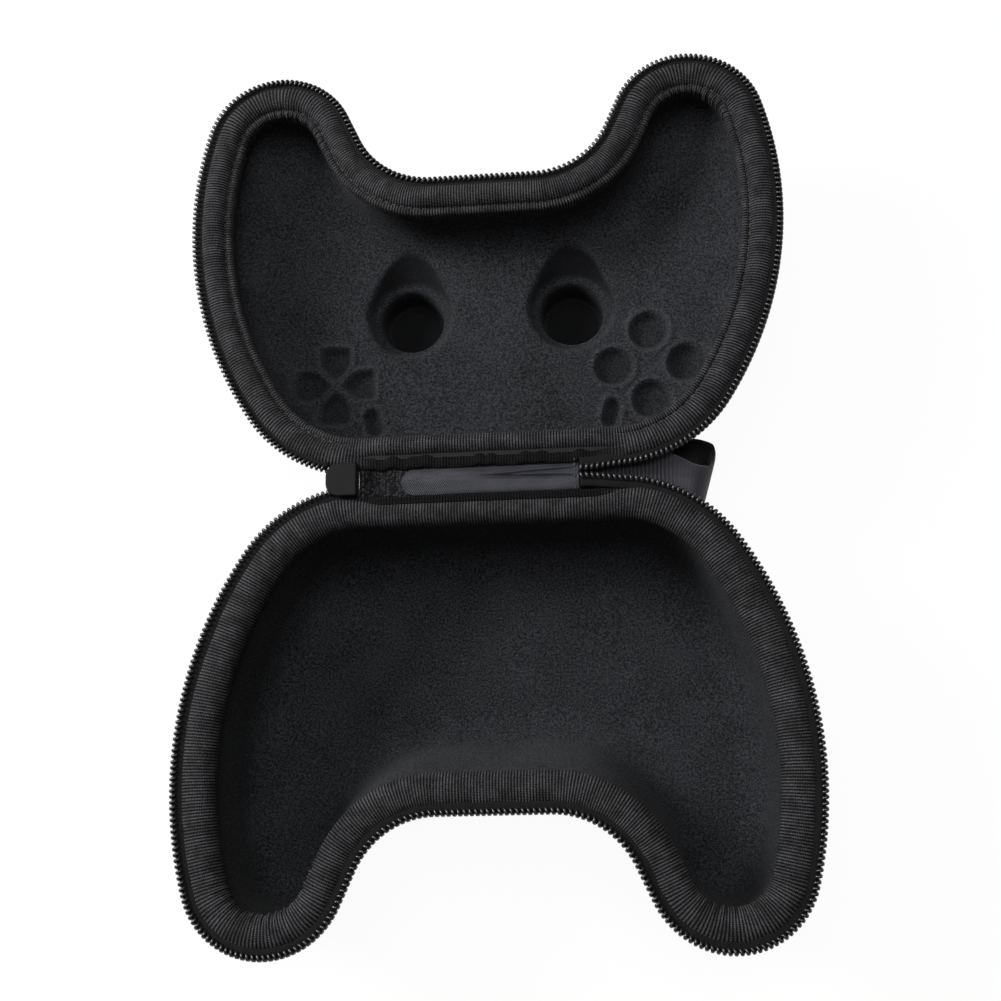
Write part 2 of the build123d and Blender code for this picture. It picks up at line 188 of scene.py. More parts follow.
class CaseHinge(bpy.types.PropertyGroup):
    """Fabric hinge and hand strap."""

    gusset_thickness: size("Gusset thickness", "Knit gusset", 0.0008)
    gusset_tail: size("Gusset tail", "How far the gusset runs on under the parting rows", 0.0045)
    facing_round: size("Facing round", "Round end of the satin facing", 0.0042)
    facing_share: share("Facing share", "Share of its solid's width that the facing puffs over", 0.92)
    facing_shift: size("Facing shift", "How far the facing lies towards the base", 0.0011)
    strap_thickness: size("Strap thickness", "Webbing", 0.0012)
    strap_root_width: size("Strap root", "Webbing gathered between the rows", 0.0086)
    strap_width: size("Strap width", "Webbing at its free end", 0.018)
    strap_spread_from: size("Spread from", "Where the webbing starts to widen", 0.044)
    strap_spread_to: size("Spread to", "Where the webbing has its full width", 0.0585)
    strap_open: share("Strap open", "Share of its half width by which the upper run is drawn in", 0.56)
    strap_rib: size("Strap rib", "One rib of the webbing to the next", 0.00115)
    strap_ribs: size("Strap ribs", "How far from its root the webbing shows its ribs", 0.024)
    strap_skew: share("Strap skew", "How far the fold slants along X for each metre across", 0.3)


class CaseColours(bpy.types.PropertyGroup):
    """Linear colours of the finishes."""

    shell: colour("Shell", "Woven nylon of the outside", (0.008, 0.008, 0.009))
    fleece: colour("Fleece", "Brushed lining", (0.0117, 0.0123, 0.0137))
    elastic: colour("Elastic", "Ribbed binding", (0.0096, 0.0093, 0.0100))
    tape: colour("Tape", "Zip tape", (0.004, 0.004, 0.0045))
    coil: colour("Coil", "Zip coil", (0.008, 0.008, 0.0095))
    knit: colour("Knit", "Hinge gusset", (0.0085, 0.0083, 0.0098))
    satin: colour("Satin", "Hinge facing", (0.0165, 0.0170, 0.0215))
    webbing: colour("Webbing", "Hand strap", (0.0150, 0.0145, 0.0180))
    paint: colour("Paint", "Slider and puller", (0.0050, 0.0050, 0.0055))
    thread: colour("Thread", "Stitches", (0.011, 0.011, 0.012))


class CaseStage(bpy.types.PropertyGroup):
    """Floor, lights and camera."""

    floor_size: size("Floor size", "Side of the floor", 6.0)
    floor_white: share("Floor white", "Share of plain white that the camera sees in the floor", 0.95)
    sky: share("Sky", "Strength of the even light from all round", 0.22)
    key_power: share("Key power", "Watts of the lamp on the left", 22.0)
    fill_power: share("Fill power", "Watts of the lamp above", 12.0)
    key_side: size("Key side", "Side of the lamp on the left", 0.45)
    fill_side: size("Fill side", "Side of the lamp above", 0.7)
    key_place: vector("Key place", "Where the left lamp hangs", (-0.95, 0.40, 0.64), "TRANSLATION")
    fill_place: vector("Fill place", "Where the upper lamp hangs", (0.05, 0.25, 1.3), "TRANSLATION")
    camera_place: vector("Camera place", "Where the camera stands",
                         (0.03270, -0.09971, 0.40566), "TRANSLATION")
    camera_look: vector("Camera look", "Where it points", (-0.07689, 0.24414, -0.96669), "DIRECTION")
    camera_up: vector("Camera up", "Its upward side", (0.03938, 0.96954, 0.24173), "DIRECTION")
    lens: share("Lens", "Focal length in mm on a 36 mm sensor", 46.75)


def straight(start, stop, inward, count):
    """Points of a straight run: start plus t times the run, with one inward normal."""
    t = np.arange(count) / count
    parts = [first + (last - first) * t for first, last in zip(start, stop)]
    return np.stack(np.broadcast_arrays(*parts, inward[0] + 0 * t, inward[1] + 0 * t), axis=-1)


def arc(centre_x, centre_y, radius, start, stop, side, count):
    """Points of an arc: centre plus radius times (cos, sin), and side times (cos, sin) as the normal."""
    angle = start + (stop - start) * np.arange(count) / count
    cos = np.cos(angle)
    sin = np.sin(angle)
    return np.stack(np.broadcast_arrays(
        centre_x + radius * cos, centre_y + radius * sin, side * cos, side * sin), axis=-1)


def edge_counts(outline, inset, step):
    """How many points each run of the right half gets, by its length at an inset."""
    o = outline
    shoulder_x, shoulder_turn, horn_turn = outline_turns(o)[1:]
    half_horn = (o.horn_radius - inset) * HORN_SWEEP / 2
    lengths = [shoulder_x, (o.shoulder_radius - inset) * (shoulder_turn + math.pi / 2),
               (o.flank_radius - inset) * (horn_turn - shoulder_turn), half_horn, half_horn,
               o.cross_run, (o.notch_radius + inset) * NOTCH_SWEEP, o.horn_x * 0.28]
    return [max(2, round(length / step)) for length in lengths]


def outline_turns(outline):
    """Centres and turns that follow from arcs touching.

    The flank's centre follows from the horn's, and the shoulder's from the flank's.
    """
    o = outline
    flank_x = o.horn_x - math.sqrt((o.flank_radius - o.horn_radius) ** 2 - (o.horn_y - o.flank_y) ** 2)
    rise = o.hinge_side + o.shoulder_radius - o.flank_y
    shoulder_x = flank_x + math.sqrt((o.flank_radius - o.shoulder_radius) ** 2 - rise**2)
    shoulder_turn = math.atan2(rise, shoulder_x - flank_x)
    horn_turn = math.atan2(o.horn_y - o.flank_y, o.horn_x - flank_x)
    return flank_x, shoulder_x, shoulder_turn, horn_turn


def edge_loop(outline, inset, notch_in, counts):
    """Closed outline drawn in by each inset, one row for each: x, y and the inward normal.

    Arcs keep their centres, so a convex radius loses the inset and the notch's gains it.
    The notch's centre moves towards the hinge by notch_in, and the horn's arc ends where
    the line that touches both arcs leaves it. The left half is the right one reversed.
    """
    o = outline
    inset = np.atleast_1d(np.asarray(inset, float))[:, None]
    notch_in = np.broadcast_to(np.atleast_1d(np.asarray(notch_in, float))[:, None], inset.shape)
    flank_x, shoulder_x, shoulder_turn, horn_turn = outline_turns(o)
    notch_y = o.notch_y - notch_in + o.notch_radius
    both = o.horn_radius + o.notch_radius
    reach = np.sqrt(both**2 + o.cross_run**2)
    notch_x = o.horn_x - np.sqrt(reach**2 - (notch_y - o.horn_y) ** 2)
    to_notch = np.arctan2(notch_y - o.horn_y, notch_x - o.horn_x) % math.tau
    cross_turn = to_notch - np.arccos(both / reach)
    horn_mid = (horn_turn + cross_turn) / 2
    horn = (o.horn_x, o.horn_y, o.horn_radius - inset)
    notch = (notch_x, notch_y, o.notch_radius + inset)
    out = np.array([np.cos(cross_turn), np.sin(cross_turn)])
    zero = np.zeros_like(inset)
    back = o.hinge_side + inset
    front = o.notch_y - notch_in - inset
    right = np.concatenate([
        straight((zero, back), (shoulder_x + zero, back), (0, 1), counts[0]),
        arc(shoulder_x, o.hinge_side + o.shoulder_radius, o.shoulder_radius - inset,
            -math.pi / 2, shoulder_turn, -1, counts[1]),
        arc(flank_x, o.flank_y, o.flank_radius - inset, shoulder_turn, horn_turn, -1, counts[2]),
        arc(*horn, horn_turn, horn_mid, -1, counts[3]),
        arc(*horn, horn_mid, cross_turn, -1, counts[4]),
        straight([horn[k] + horn[2] * out[k] for k in range(2)],
                 [notch[k] - notch[2] * out[k] for k in range(2)], -out, counts[5]),
        arc(*notch, cross_turn - math.pi, -math.pi / 2 + zero, 1, counts[6]),
        straight((notch_x, front), (zero, front), (0, -1), counts[7]),
        np.stack([zero, front, zero, zero - 1], axis=-1)], axis=1)
    left = right[:, -2:0:-1] * np.array([-1, 1, -1, 1])
    return np.concatenate([right, left], axis=1)


def run_lengths(points, closed=True):
    """Distance along a row of points from its first, with the whole length at a closed row's end."""
    if closed:
        points = np.vstack([points, points[:1]])
    return np.concatenate([[0.0], np.cumsum(np.linalg.norm(np.diff(points, axis=0), axis=1))])


def run_uv(along, across):
    """Places on a piece in mm, from the distances along its run and across it."""
    return np.stack(np.broadcast_arrays(along / MM, across[:, None] / MM), axis=-1)


def placed(name, data):
    """Object of the given data, linked to the scene."""
    item = bpy.data.objects.new(name, data)
    bpy.context.scene.collection.objects.link(item)
    return item


def surface(name, points, uv=None, wrap_columns=False, wrap_rows=False, flip=False, **marks):
    """Mesh object of a grid of points: each point joins the next of its row and of its column.

    uv is in mm and has one more row or column where the grid wraps, so that the pattern
    runs on over the joint. Marks are point attributes for the materials.
    """
    rows, columns = points.shape[:2]
    index = np.arange(rows * columns).reshape(rows, columns)
    if wrap_columns:
        index = np.hstack([index, index[:, :1]])
    if wrap_rows:
        index = np.vstack([index, index[:1]])
    if uv is None:
        uv = np.zeros((*index.shape, 2))
    here = slice(None, -1)
    after = slice(1, None)
    order = [(here, here), (here, after), (after, after), (after, here)]
    if flip:
        order.reverse()
    quads = np.stack([index[part] for part in order], axis=-1).reshape(-1, 4)
    corners = np.stack([uv[part] for part in order], axis=-2)
    mesh = bpy.data.meshes.new(name)
    mesh.vertices.add(rows * columns)
    mesh.vertices.foreach_set("co", points.reshape(-1).astype(np.float32))
    mesh.loops.add(quads.size)
    mesh.loops.foreach_set("vertex_index", quads.reshape(-1).astype(np.int32))
    mesh.polygons.add(len(quads))
    mesh.polygons.foreach_set("loop_start", np.arange(0, quads.size, 4, dtype=np.int32))
    mesh.polygons.foreach_set("use_smooth", np.ones(len(quads), bool))
    mesh.uv_layers.new(name="Run").data.foreach_set("uv", corners.reshape(-1).astype(np.float32))
    mesh.update(calc_edges=True)
    for mark, values in marks.items():
        data = mesh.attributes.new(mark, "FLOAT", "POINT").data
        data.foreach_set("value", values.reshape(-1).astype(np.float32))
    return placed(name, mesh)


def strip(name, points, along, across, flip, **marks):
    """Closed strip or tube, its section in rows and capped, with the lengths both ways as its UV map."""
    ends = np.concatenate([along[:1], along, along[-1:]])
    return weld(surface(name, capped(points), run_uv(ends, across), wrap_rows=True, flip=flip, **marks))


def weld(piece, turn_out=False):
    """Joins points that lie on one another, at poles and where sides meet, and may turn faces outwards."""
    mesh = bmesh.new()
    mesh.from_mesh(piece.data)
    bmesh.ops.remove_doubles(mesh, verts=mesh.verts, dist=1e-6)
    if turn_out:
        bmesh.ops.recalc_face_normals(mesh, faces=mesh.faces)
    mesh.to_mesh(piece.data)
    mesh.free()
    return piece


def unit(vectors):
    """Each vector at the length of one."""
    return vectors / np.linalg.norm(vectors, axis=1, keepdims=True)


def in_half(points, half):
    """The same points in the lid's half, or mirrored in the hinge plane for the base's."""
    if half == "lid":
        return points
    return points * np.array([1.0, -1.0, 1.0])


def finish_piece(piece, body, material, replaced=None, bend_z=None):
    """Gives a piece its material, hides the solid that it stands for and attaches it to its body.

    Where a height is given the piece gets no body, and only its transform is baked in.
    """
    piece.data.materials.append(material)
    if replaced:
        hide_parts(replaced)
    if bend_z is None:
        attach(piece, body)
    else:
        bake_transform(piece)


def soft_step(value, low, high):
    """Rises smoothly from 0 at low to 1 at high: t squared times (3 - 2t)."""
    t = np.clip((value - low) / (high - low), 0, 1)
    return t * t * (3 - 2 * t)


def smoothed(values, width):
    """Running mean of a row with a bell of the given width in samples, its ends held."""
    reach = int(math.ceil(3 * width))
    bell = np.exp(-0.5 * (np.arange(-reach, reach + 1) / width) ** 2)
    bell /= bell.sum()
    padded = np.concatenate([np.full(reach, values[0]), values, np.full(reach, values[-1])])
    return np.convolve(padded, bell, mode="valid")


def waves(x, y, rng, count, longest, shortest):
    """Sum of sine waves with seeded directions and phases, each as tall as it is long: about -1 to 1."""
    total = 0 * x
    weight = 0.0
    for length in np.geomspace(longest, shortest, count):
        turn = rng.uniform(0, math.tau)
        phase = rng.uniform(0, math.tau)
        along = x * math.cos(turn) + y * math.sin(turn)
        total = total + length * np.sin(along * math.tau / length + phase)
        weight += length
    return total * 2 / weight


class Nodes:
    """Short hand for the nodes of one material."""

    def __init__(self, name, base, rough, sheen=0.0, sheen_rough=0.5, specular=0.5):
        self.base = base
        self.material = bpy.data.materials.new(name)
        self.material.use_nodes = True
        self.tree = self.material.node_tree
        self.shader = self.tree.nodes["Principled BSDF"]
        for socket, value in (("Base Color", (*base, 1)), ("Roughness", rough), ("Sheen Weight", sheen),
                              ("Sheen Roughness", sheen_rough), ("Specular IOR Level", specular)):
            self.shader.inputs[socket].default_value = value
        self.coordinates = self.tree.nodes.new("ShaderNodeTexCoord")

    def add(self, kind, links=(), **settings):
        """A node with the given settings, its inputs linked or set by name or number."""
        node = self.tree.nodes.new(kind)
        for key, value in settings.items():
            setattr(node, key, value)
        for key, value in dict(links).items():
            if isinstance(value, bpy.types.NodeSocket):
                self.tree.links.new(value, node.inputs[key])
            else:
                node.inputs[key].default_value = value
        return node

    def place(self, source, stretch=(1, 1, 1), turn=0.0):
        """Coordinates of the object or its UV map, in mm, turned about Z and stretched."""
        scale = 1000 if source == "Object" else 1
        return self.add("ShaderNodeMapping", {
            "Vector": self.coordinates.outputs[source], "Rotation": (0, 0, turn),
            "Scale": tuple(scale * part for part in stretch)}).outputs["Vector"]

    def noise(self, place, period, detail=2.0, rough=0.5):
        """Noise whose cells are about one period, in mm, across."""
        return self.add("ShaderNodeTexNoise", {
            "Vector": place, "Scale": 1 / period, "Detail": detail, "Roughness": rough}).outputs["Fac"]

    def ribs(self, place, pitch, axis="X", wobble=0.0):
        """Sine bands one pitch, in mm, apart. The node turns 20 radians for each unit."""
        return self.add("ShaderNodeTexWave", {
            "Vector": place, "Scale": math.tau / (20 * pitch), "Distortion": wobble, "Detail": 1.0,
            "Detail Scale": 0.6}, bands_direction=axis).outputs["Fac"]

    def mark(self, name):
        """A point attribute of the piece."""
        return self.add("ShaderNodeAttribute", attribute_name=name).outputs["Fac"]

    def math(self, what, first, *others):
        """One sum, product, power or extreme of a value and the others, one after another."""
        for other in others:
            first = self.add("ShaderNodeMath", {0: first, 1: other}, operation=what).outputs["Value"]
        return first

    def total(self, first, *others):
        """A value plus the others, each of them given with its weight."""
        return self.math("ADD", first, *(self.math("MULTIPLY", *other) for other in others))

    def spread(self, value, low, high, to_low=0.0, to_high=1.0):
        """Carries low..high to another range, held at both ends."""
        return self.add("ShaderNodeMapRange", {
            "Value": value, "From Min": low, "From Max": high, "To Min": to_low, "To Max": to_high},
        ).outputs["Result"]

    def tint(self, value, dark, light):
        """Base colour between dark and light shares of the base, led by a value from 0 to 1."""
        mixed = self.add("ShaderNodeMix", {
            0: value, MIX_DARK: (*(part * dark for part in self.base), 1),
            MIX_LIGHT: (*(part * light for part in self.base), 1)}, data_type="RGBA")
        self.tree.links.new(mixed.outputs[MIX_RESULT], self.shader.inputs["Base Color"])

    def finish(self, height, deep, strength):
        """The material, with a bump of the given depth in mm."""
        normal = self.add("ShaderNodeBump", {"Height": height, "Distance": deep * MM, "Strength": strength})
        self.tree.links.new(normal.outputs["Normal"], self.shader.inputs["Normal"])
        return self.material


def fleece_finish(colours):
    """Brushed fleece: fine bright specks in a soft grey, a short nap in the bump and a faint sheen, with
    painted shade in the lid's recesses and painted highlights on the lips of its marks and at the cups'
    feet, from a point attribute.
    """
    nodes = Nodes("fleece", colours.fleece, 0.95, sheen=0.02, sheen_rough=0.6, specular=0.04)
    place = nodes.place("Object")
    specks = nodes.noise(place, 0.6, detail=3.0, rough=0.75)
    patches = nodes.noise(place, 14.0, detail=1.0)
    shade = nodes.total(nodes.spread(specks, 0.40, 0.68), (patches, 0.35))
    # Painted shade and highlight: the point attribute darkens the colour down to 0.02 of itself and
    # lightens it up to 1.6 times.
    painted_light_and_shade = nodes.spread(nodes.mark("pressed"), -0.6, 1.0, 1.6, 0.02)
    nodes.tint(nodes.math("MULTIPLY", nodes.spread(shade, 0.1, 1.15), painted_light_and_shade), 0.30, 2.7)
    return nodes.finish(specks, 0.2, 0.9)


def elastic_finish(colours, rim):
    """Ribbed elastic: ribs across the run, fine threads along it and fuzz, with painted highlights on the
    crowns and painted shade between the ribs and in the fold and ledge at the hinge.
    """
    nodes = Nodes("elastic", colours.elastic, 0.6, sheen=0.02, sheen_rough=0.4, specular=0.06)
    run = nodes.place("UV")
    place = nodes.place("Object")
    ribs = nodes.ribs(run, rim.rib_pitch / MM, wobble=0.35)
    threads = nodes.ribs(run, 0.45, axis="Y", wobble=0.6)
    fuzz = nodes.noise(place, 0.45, detail=3.0, rough=0.7)
    height = nodes.total(nodes.math("MULTIPLY", ribs, 0.7), (threads, 0.3), (fuzz, 1.1))
    # Painted highlight on the rib crowns and painted shade between the ribs: the colour follows the height,
    # raised to a power.
    painted_crown_highlights = nodes.math("POWER", nodes.spread(height, 0.6, 1.75), 1.8)
    patches = nodes.spread(nodes.noise(place, 4.0), 0.3, 0.7, 0.5, 1.25)
    # Painted shade: the fold and ledge at the hinge are darkened almost to black.
    smooth = nodes.spread(nodes.mark("gathered"), 0.0, 1.0, 1.0, 0.04)
    nodes.tint(nodes.math("MULTIPLY", painted_crown_highlights, patches, smooth), 0.10, 9.5)
    return nodes.finish(height, 0.2, 1.0)


def weave_finish(name, base, pitch, rough, source="UV", deep=0.1, sheen=0.0, wobble=0.2):
    """Plain weave: the product of ribs both ways, so that it stands out where threads cross."""
    nodes = Nodes(name, base, rough, sheen=sheen, specular=0.15)
    place = nodes.place(source)
    threads = [nodes.ribs(place, pitch, axis=axis, wobble=wobble) for axis in "XY"]
    height = nodes.total(nodes.math("MULTIPLY", *threads), (nodes.noise(place, pitch * 0.8), 0.4))
    nodes.tint(nodes.spread(height, 0.1, 1.0), 0.5, 1.6)
    return nodes.finish(height, deep, 0.9)


def knit_finish(colours):
    """Coarse knit: small round loops as cells, dark between them."""
    nodes = Nodes("knit", colours.knit, 0.85, sheen=0.03, specular=0.12)
    place = nodes.place("UV", stretch=(1.0, 1.25, 1.0))
    cells = nodes.add("ShaderNodeTexVoronoi", {"Vector": place, "Scale": 1.1, "Randomness": 0.6})
    loops = nodes.spread(cells.outputs["Distance"], 0.62, 0.12)
    nodes.tint(loops, 0.15, 3.4)
    return nodes.finish(loops, 0.3, 1.0)


def satin_finish(colours):
    """Satin twill: fine slanted lines, a broad soft sheen and long faint streaks along the strip, with
    painted sheen in the lighter streaks and painted shade of folds in broad patches.
    """
    nodes = Nodes("satin", colours.satin, 0.5, sheen=0.05, sheen_rough=0.3, specular=0.16)
    twill = nodes.ribs(nodes.place("UV", turn=math.radians(32)), 0.5, wobble=0.2)
    streaks = nodes.noise(nodes.place("UV", stretch=(0.12, 1.0, 1.0)), 0.9, detail=3.0)
    shadows = nodes.noise(nodes.place("UV", stretch=(0.35, 1.0, 1.0)), 5.0)
    height = nodes.total(twill, (streaks, 0.9), (nodes.noise(nodes.place("UV"), 0.35), 0.4))
    # Painted shade of folds in broad noise patches; the colour also follows the height, so the streaks
    # lighten it as painted sheen.
    folds = nodes.spread(shadows, 0.3, 0.65, 0.45, 1.0)
    nodes.tint(nodes.math("MULTIPLY", nodes.spread(height, 0.3, 1.6), folds), 0.12, 2.3)
    return nodes.finish(height, 0.08, 0.8)


def webbing_finish(colours, hinge):
    """Grosgrain webbing: ribs across the strap that fade where it turns, with painted shade on its inner
    side.
    """
    nodes = Nodes("webbing", colours.webbing, 0.6, sheen=0.08, sheen_rough=0.4, specular=0.2)
    run = nodes.place("UV")
    along = nodes.add("ShaderNodeSeparateXYZ", {"Vector": run}).outputs["X"]
    ribbed = nodes.spread(along, hinge.strap_ribs / MM - 2, hinge.strap_ribs / MM + 3, 1.0, 0.15)
    ribs = nodes.ribs(run, hinge.strap_rib / MM, wobble=0.15)
    threads = nodes.ribs(run, 0.42, axis="Y", wobble=0.3)
    height = nodes.total(nodes.math("MULTIPLY", ribs, ribbed), (threads, 0.3))
    shade = nodes.math("ADD", height, nodes.spread(ribbed, 0.15, 1.0, 0.7, 0.0))
    # Painted shade: the loop's inner side is darkened to black.
    outside = nodes.spread(nodes.mark("inner"), 0.0, 1.0, 1.0, 0.0)
    nodes.tint(nodes.math("MULTIPLY", nodes.spread(shade, 0.1, 1.2), outside), 0.3, 2.1)
    return nodes.finish(height, 0.22, 0.9)


def coil_finish(colours):
    """Nylon coil: smooth dark monofilament with faint scuffs."""
    nodes = Nodes("coil", colours.coil, 0.34, specular=0.6)
    scuffs = nodes.noise(nodes.place("Object"), 1.5, detail=3.0)
    nodes.tint(nodes.spread(scuffs, 0.35, 0.7), 0.8, 1.5)
    return nodes.finish(scuffs, 0.02, 0.5)


def paint_finish(colours):
    """Matt painted metal: fine grain, with a little wear in broad patches."""
    nodes = Nodes("paint", colours.paint, 0.7, specular=0.12)
    grain, patches = [nodes.noise(nodes.place("Object"), period) for period in (0.25, 3.0)]
    nodes.tint(nodes.spread(nodes.math("ADD", grain, patches), 0.7, 1.3), 0.85, 1.2)
    return nodes.finish(grain, 0.02, 0.6)


def thread_finish(colours):
    """Sewing thread: two plies that wind round each other."""
    nodes = Nodes("thread", colours.thread, 0.6, sheen=0.2, specular=0.4)
    plies = nodes.ribs(nodes.place("Object", turn=math.radians(40)), 0.3)
    nodes.tint(plies, 0.7, 1.5)
    return nodes.finish(plies, 0.05, 0.7)


def spine_points(ring, lower, upper):
    """Line where both sides of the floor mesh meet: the middle between matching points of its edge.

    A point of the right half's lower side matches the one on the upper side with the same
    share of the way from the middle to the horn's end.
    """
    index = np.arange(lower + upper + 1)
    share = np.where(index < lower, index / lower, 1 - (index - lower) / upper)
    partner = np.where(index < lower, lower + (1 - share) * upper, share * lower)
    right = ring[:lower + upper + 1]
    across = np.stack([np.interp(partner, index, right[:, k]) for k in range(2)], axis=-1)
    spine = (right + across) / 2
    return np.concatenate([spine, spine[-2:0:-1] * [-1, 1]])


def lining_points(outline, lining, floor, slope, floor_rows):
    """Wall, edge round and floor of one half as one grid, rows from the rim inwards.

    The wall leans in by the tangent of its draft, the round is an arc that touches wall
    and floor, and the floor runs straight from the round's end to the spine.
    """
    side_count = 250
    counts = edge_counts(outline, 0.012, 0.0007)
    counts = shared_counts(counts[:4], side_count) + shared_counts(counts[4:], side_count)
    lean = math.radians(lining.draft)
    radius = lining.edge_radius
    centre_z = floor + radius
    centre_inset = lining.inset + (lining.wall_top - centre_z) * math.tan(lean) + radius / math.cos(lean)
    turn = np.linspace(math.pi + lean, 1.5 * math.pi, 12)
    round_z = centre_z + radius * np.sin(turn)
    wall_z = np.linspace(lining.wall_start, round_z[0], 6, endpoint=False)
    wall_inset = lining.inset + (lining.wall_top - wall_z) * math.tan(lean)
    inset = np.concatenate([wall_inset, centre_inset + radius * np.cos(turn)])
    z = np.concatenate([wall_z, round_z])
    edge = edge_loop(outline, inset, slope * (lining.wall_top - z) / lining.half_depth, counts)
    rim = np.dstack([edge[..., :2], np.broadcast_to(z[:, None], edge.shape[:2])])
    fraction = 1 - (1 - np.arange(1, floor_rows + 1) / floor_rows) ** 1.15
    last = rim[-1, :, :2]
    flat = last + (spine_points(last, side_count, side_count) - last) * fraction[:, None, None]
    level = np.full((*flat.shape[:2], 1), floor)
    return np.concatenate([rim, np.concatenate([flat, level], axis=2)], axis=0)


def stick_recess(points, lining, side, floor):
    """Draws the floor down into one stick recess: oval mouth, ramp, terrace and cup.

    A point's distance t from the stick's centre leads a smooth row of radii that gathers
    points at the cup's wall. The ramp falls from the oval mouth to the terrace in
    proportion to the way between them, with both ends rounded. Inside the mouth the edge
    round is taken down to the floor as well. Returns painted shade for the fleece: most in
    the cup and on the far side's ramp, where shade falls, with a painted highlight as a
    faint lighter line round the cup's foot.
    """
    dx = points[..., 0] - side * lining.stick_x
    dy = points[..., 1] - lining.stick_y
    t = np.hypot(dx, dy)
    safe = np.maximum(t, 1e-9)
    fine = np.linspace(0, 0.03, 601)
    cup_foot = 0.0086
    cup_rim = 0.0114
    stops = (0.0, cup_foot, cup_rim, 0.0131, 0.0165, 0.03)
    radii = (0.0, lining.cup_floor_radius, lining.cup_radius, lining.step_radius + 0.0002, 0.0165, 0.03)
    depths = (lining.cup_depth, lining.cup_depth, 0.0, 0.0, 0.0, 0.0)
    radius = np.interp(t, fine, smoothed(np.interp(fine, stops, radii), 9))
    radius = np.where(t < 0.004, t * lining.cup_floor_radius / cup_foot, radius)
    stretch = np.where(t < 0.018, radius / safe, 1.0)
    radius = t * stretch
    mouth = oval_reach(dx / safe, dy / safe, lining)
    run = mouth - lining.step_radius
    way = (mouth - radius) / run
    corner = 0.0007 / run
    ramp = (np.sqrt(way**2 + corner**2) - np.sqrt((way - 1) ** 2 + corner**2) + 1) / 2
    ramp = ramp * (1 - soft_step(radius - mouth, 0.0, 0.006))
    drop = lining.step_depth * ramp + np.interp(t, fine, smoothed(np.interp(fine, stops, depths), 8))
    inside = soft_step(mouth - radius, -0.0006, 0.0010)
    # Painted shade in the cup and on the ramp, heavier on the far side, and a painted highlight as a thin
    # lighter line at the cup's foot.
    in_cup = 1 - soft_step(t, cup_foot + 0.0008, cup_rim - 0.0002)
    painted_foot_highlight = np.exp(-(((t - cup_foot + 0.0004) / 0.0005) ** 2))
    beyond = soft_step(radius, lining.step_radius - 0.0004, lining.step_radius + 0.0016)
    far_side_painted_shade = 0.35 + 0.65 * soft_step(dy / safe, -0.3, 0.6)
    points[..., 0] = side * lining.stick_x + dx * stretch
    points[..., 1] = lining.stick_y + dy * stretch
    over_floor = np.clip(points[..., 2] - floor, 0, None)
    points[..., 2] -= drop + inside * over_floor
    return np.maximum(in_cup * (0.97 - 0.4 * painted_foot_highlight), inside * (0.12 + 0.76 * beyond * far_side_painted_shade))


def oval_reach(ray_x, ray_y, lining):
    """Distance from the stick's centre to the oval mouth along a ray: the greater root of its quadratic.

    Beyond the stick the oval is drawn in on both sides of its end, to a drop's point.
    """
    wide = lining.mouth_half_width**2
    long = lining.mouth_half_length**2
    shift = lining.mouth_shift
    square = ray_x**2 / wide + ray_y**2 / long
    middle = -ray_y * shift / long
    rest = shift**2 / long - 1
    reach = (-middle + np.sqrt(middle**2 - square * rest)) / square
    return reach * (1 - 0.5 * np.clip(ray_y, 0, 1) ** 2 * ray_x**2)


def soft_most(distances, width):
    """Smooth greatest of several distances: width times the log of the sum of their exponentials."""
    return width * np.log(sum(np.exp(np.clip(d / width, -60, 60)) for d in distances))


def turned(x, y, angle):
    """Both coordinates in axes turned by an angle."""
    cos = math.cos(angle)
    sin = math.sin(angle)
    return x * cos + y * sin, y * cos - x * sin


def control_marks(x, y, lining):
    """How deep each place of the floor is sunk for pad, buttons and pills, with its inside and lip.

    Each mark is a signed distance: a petal is the smooth greatest of its five side
    distances, a button a circle, and a pill the distance from a short line. Round each
    mark the fleece bulges up by a bell of its distance.
    """
    distances = []
    half_width = lining.petal_width / 2
    for angle in np.arange(4) * math.pi / 2:
        u, v = turned(x + lining.pad_x, y - lining.pad_y, angle)
        sides = (u - half_width, -u - half_width, v - lining.petal_outer,
                 (u - v + lining.petal_inner) / math.sqrt(2), (-u - v + lining.petal_inner) / math.sqrt(2))
        distances.append(soft_most(sides, 0.0006))
        u, v = turned(x - lining.button_x, y - lining.button_y, angle)
        distances.append(np.hypot(u - lining.button_spread, v) - lining.button_radius)
    straight_half = (lining.pill_length - lining.pill_width) / 2
    for side in (-1, 1):
        u, v = turned(x - side * lining.pill_x, y - lining.pill_y, math.radians(90 - side * 14))
        beyond = np.maximum(np.abs(u) - straight_half, 0)
        distances.append(np.hypot(beyond, v) - lining.pill_width / 2)
    nearest = np.min(distances, axis=0)
    edge = lining.mark_edge
    inside = 1 - soft_step(nearest, -edge, edge)
    lip = np.exp(-((nearest / edge - 1.1) ** 2))
    return inside * lining.mark_depth - lip * lining.mark_lip, inside, lip


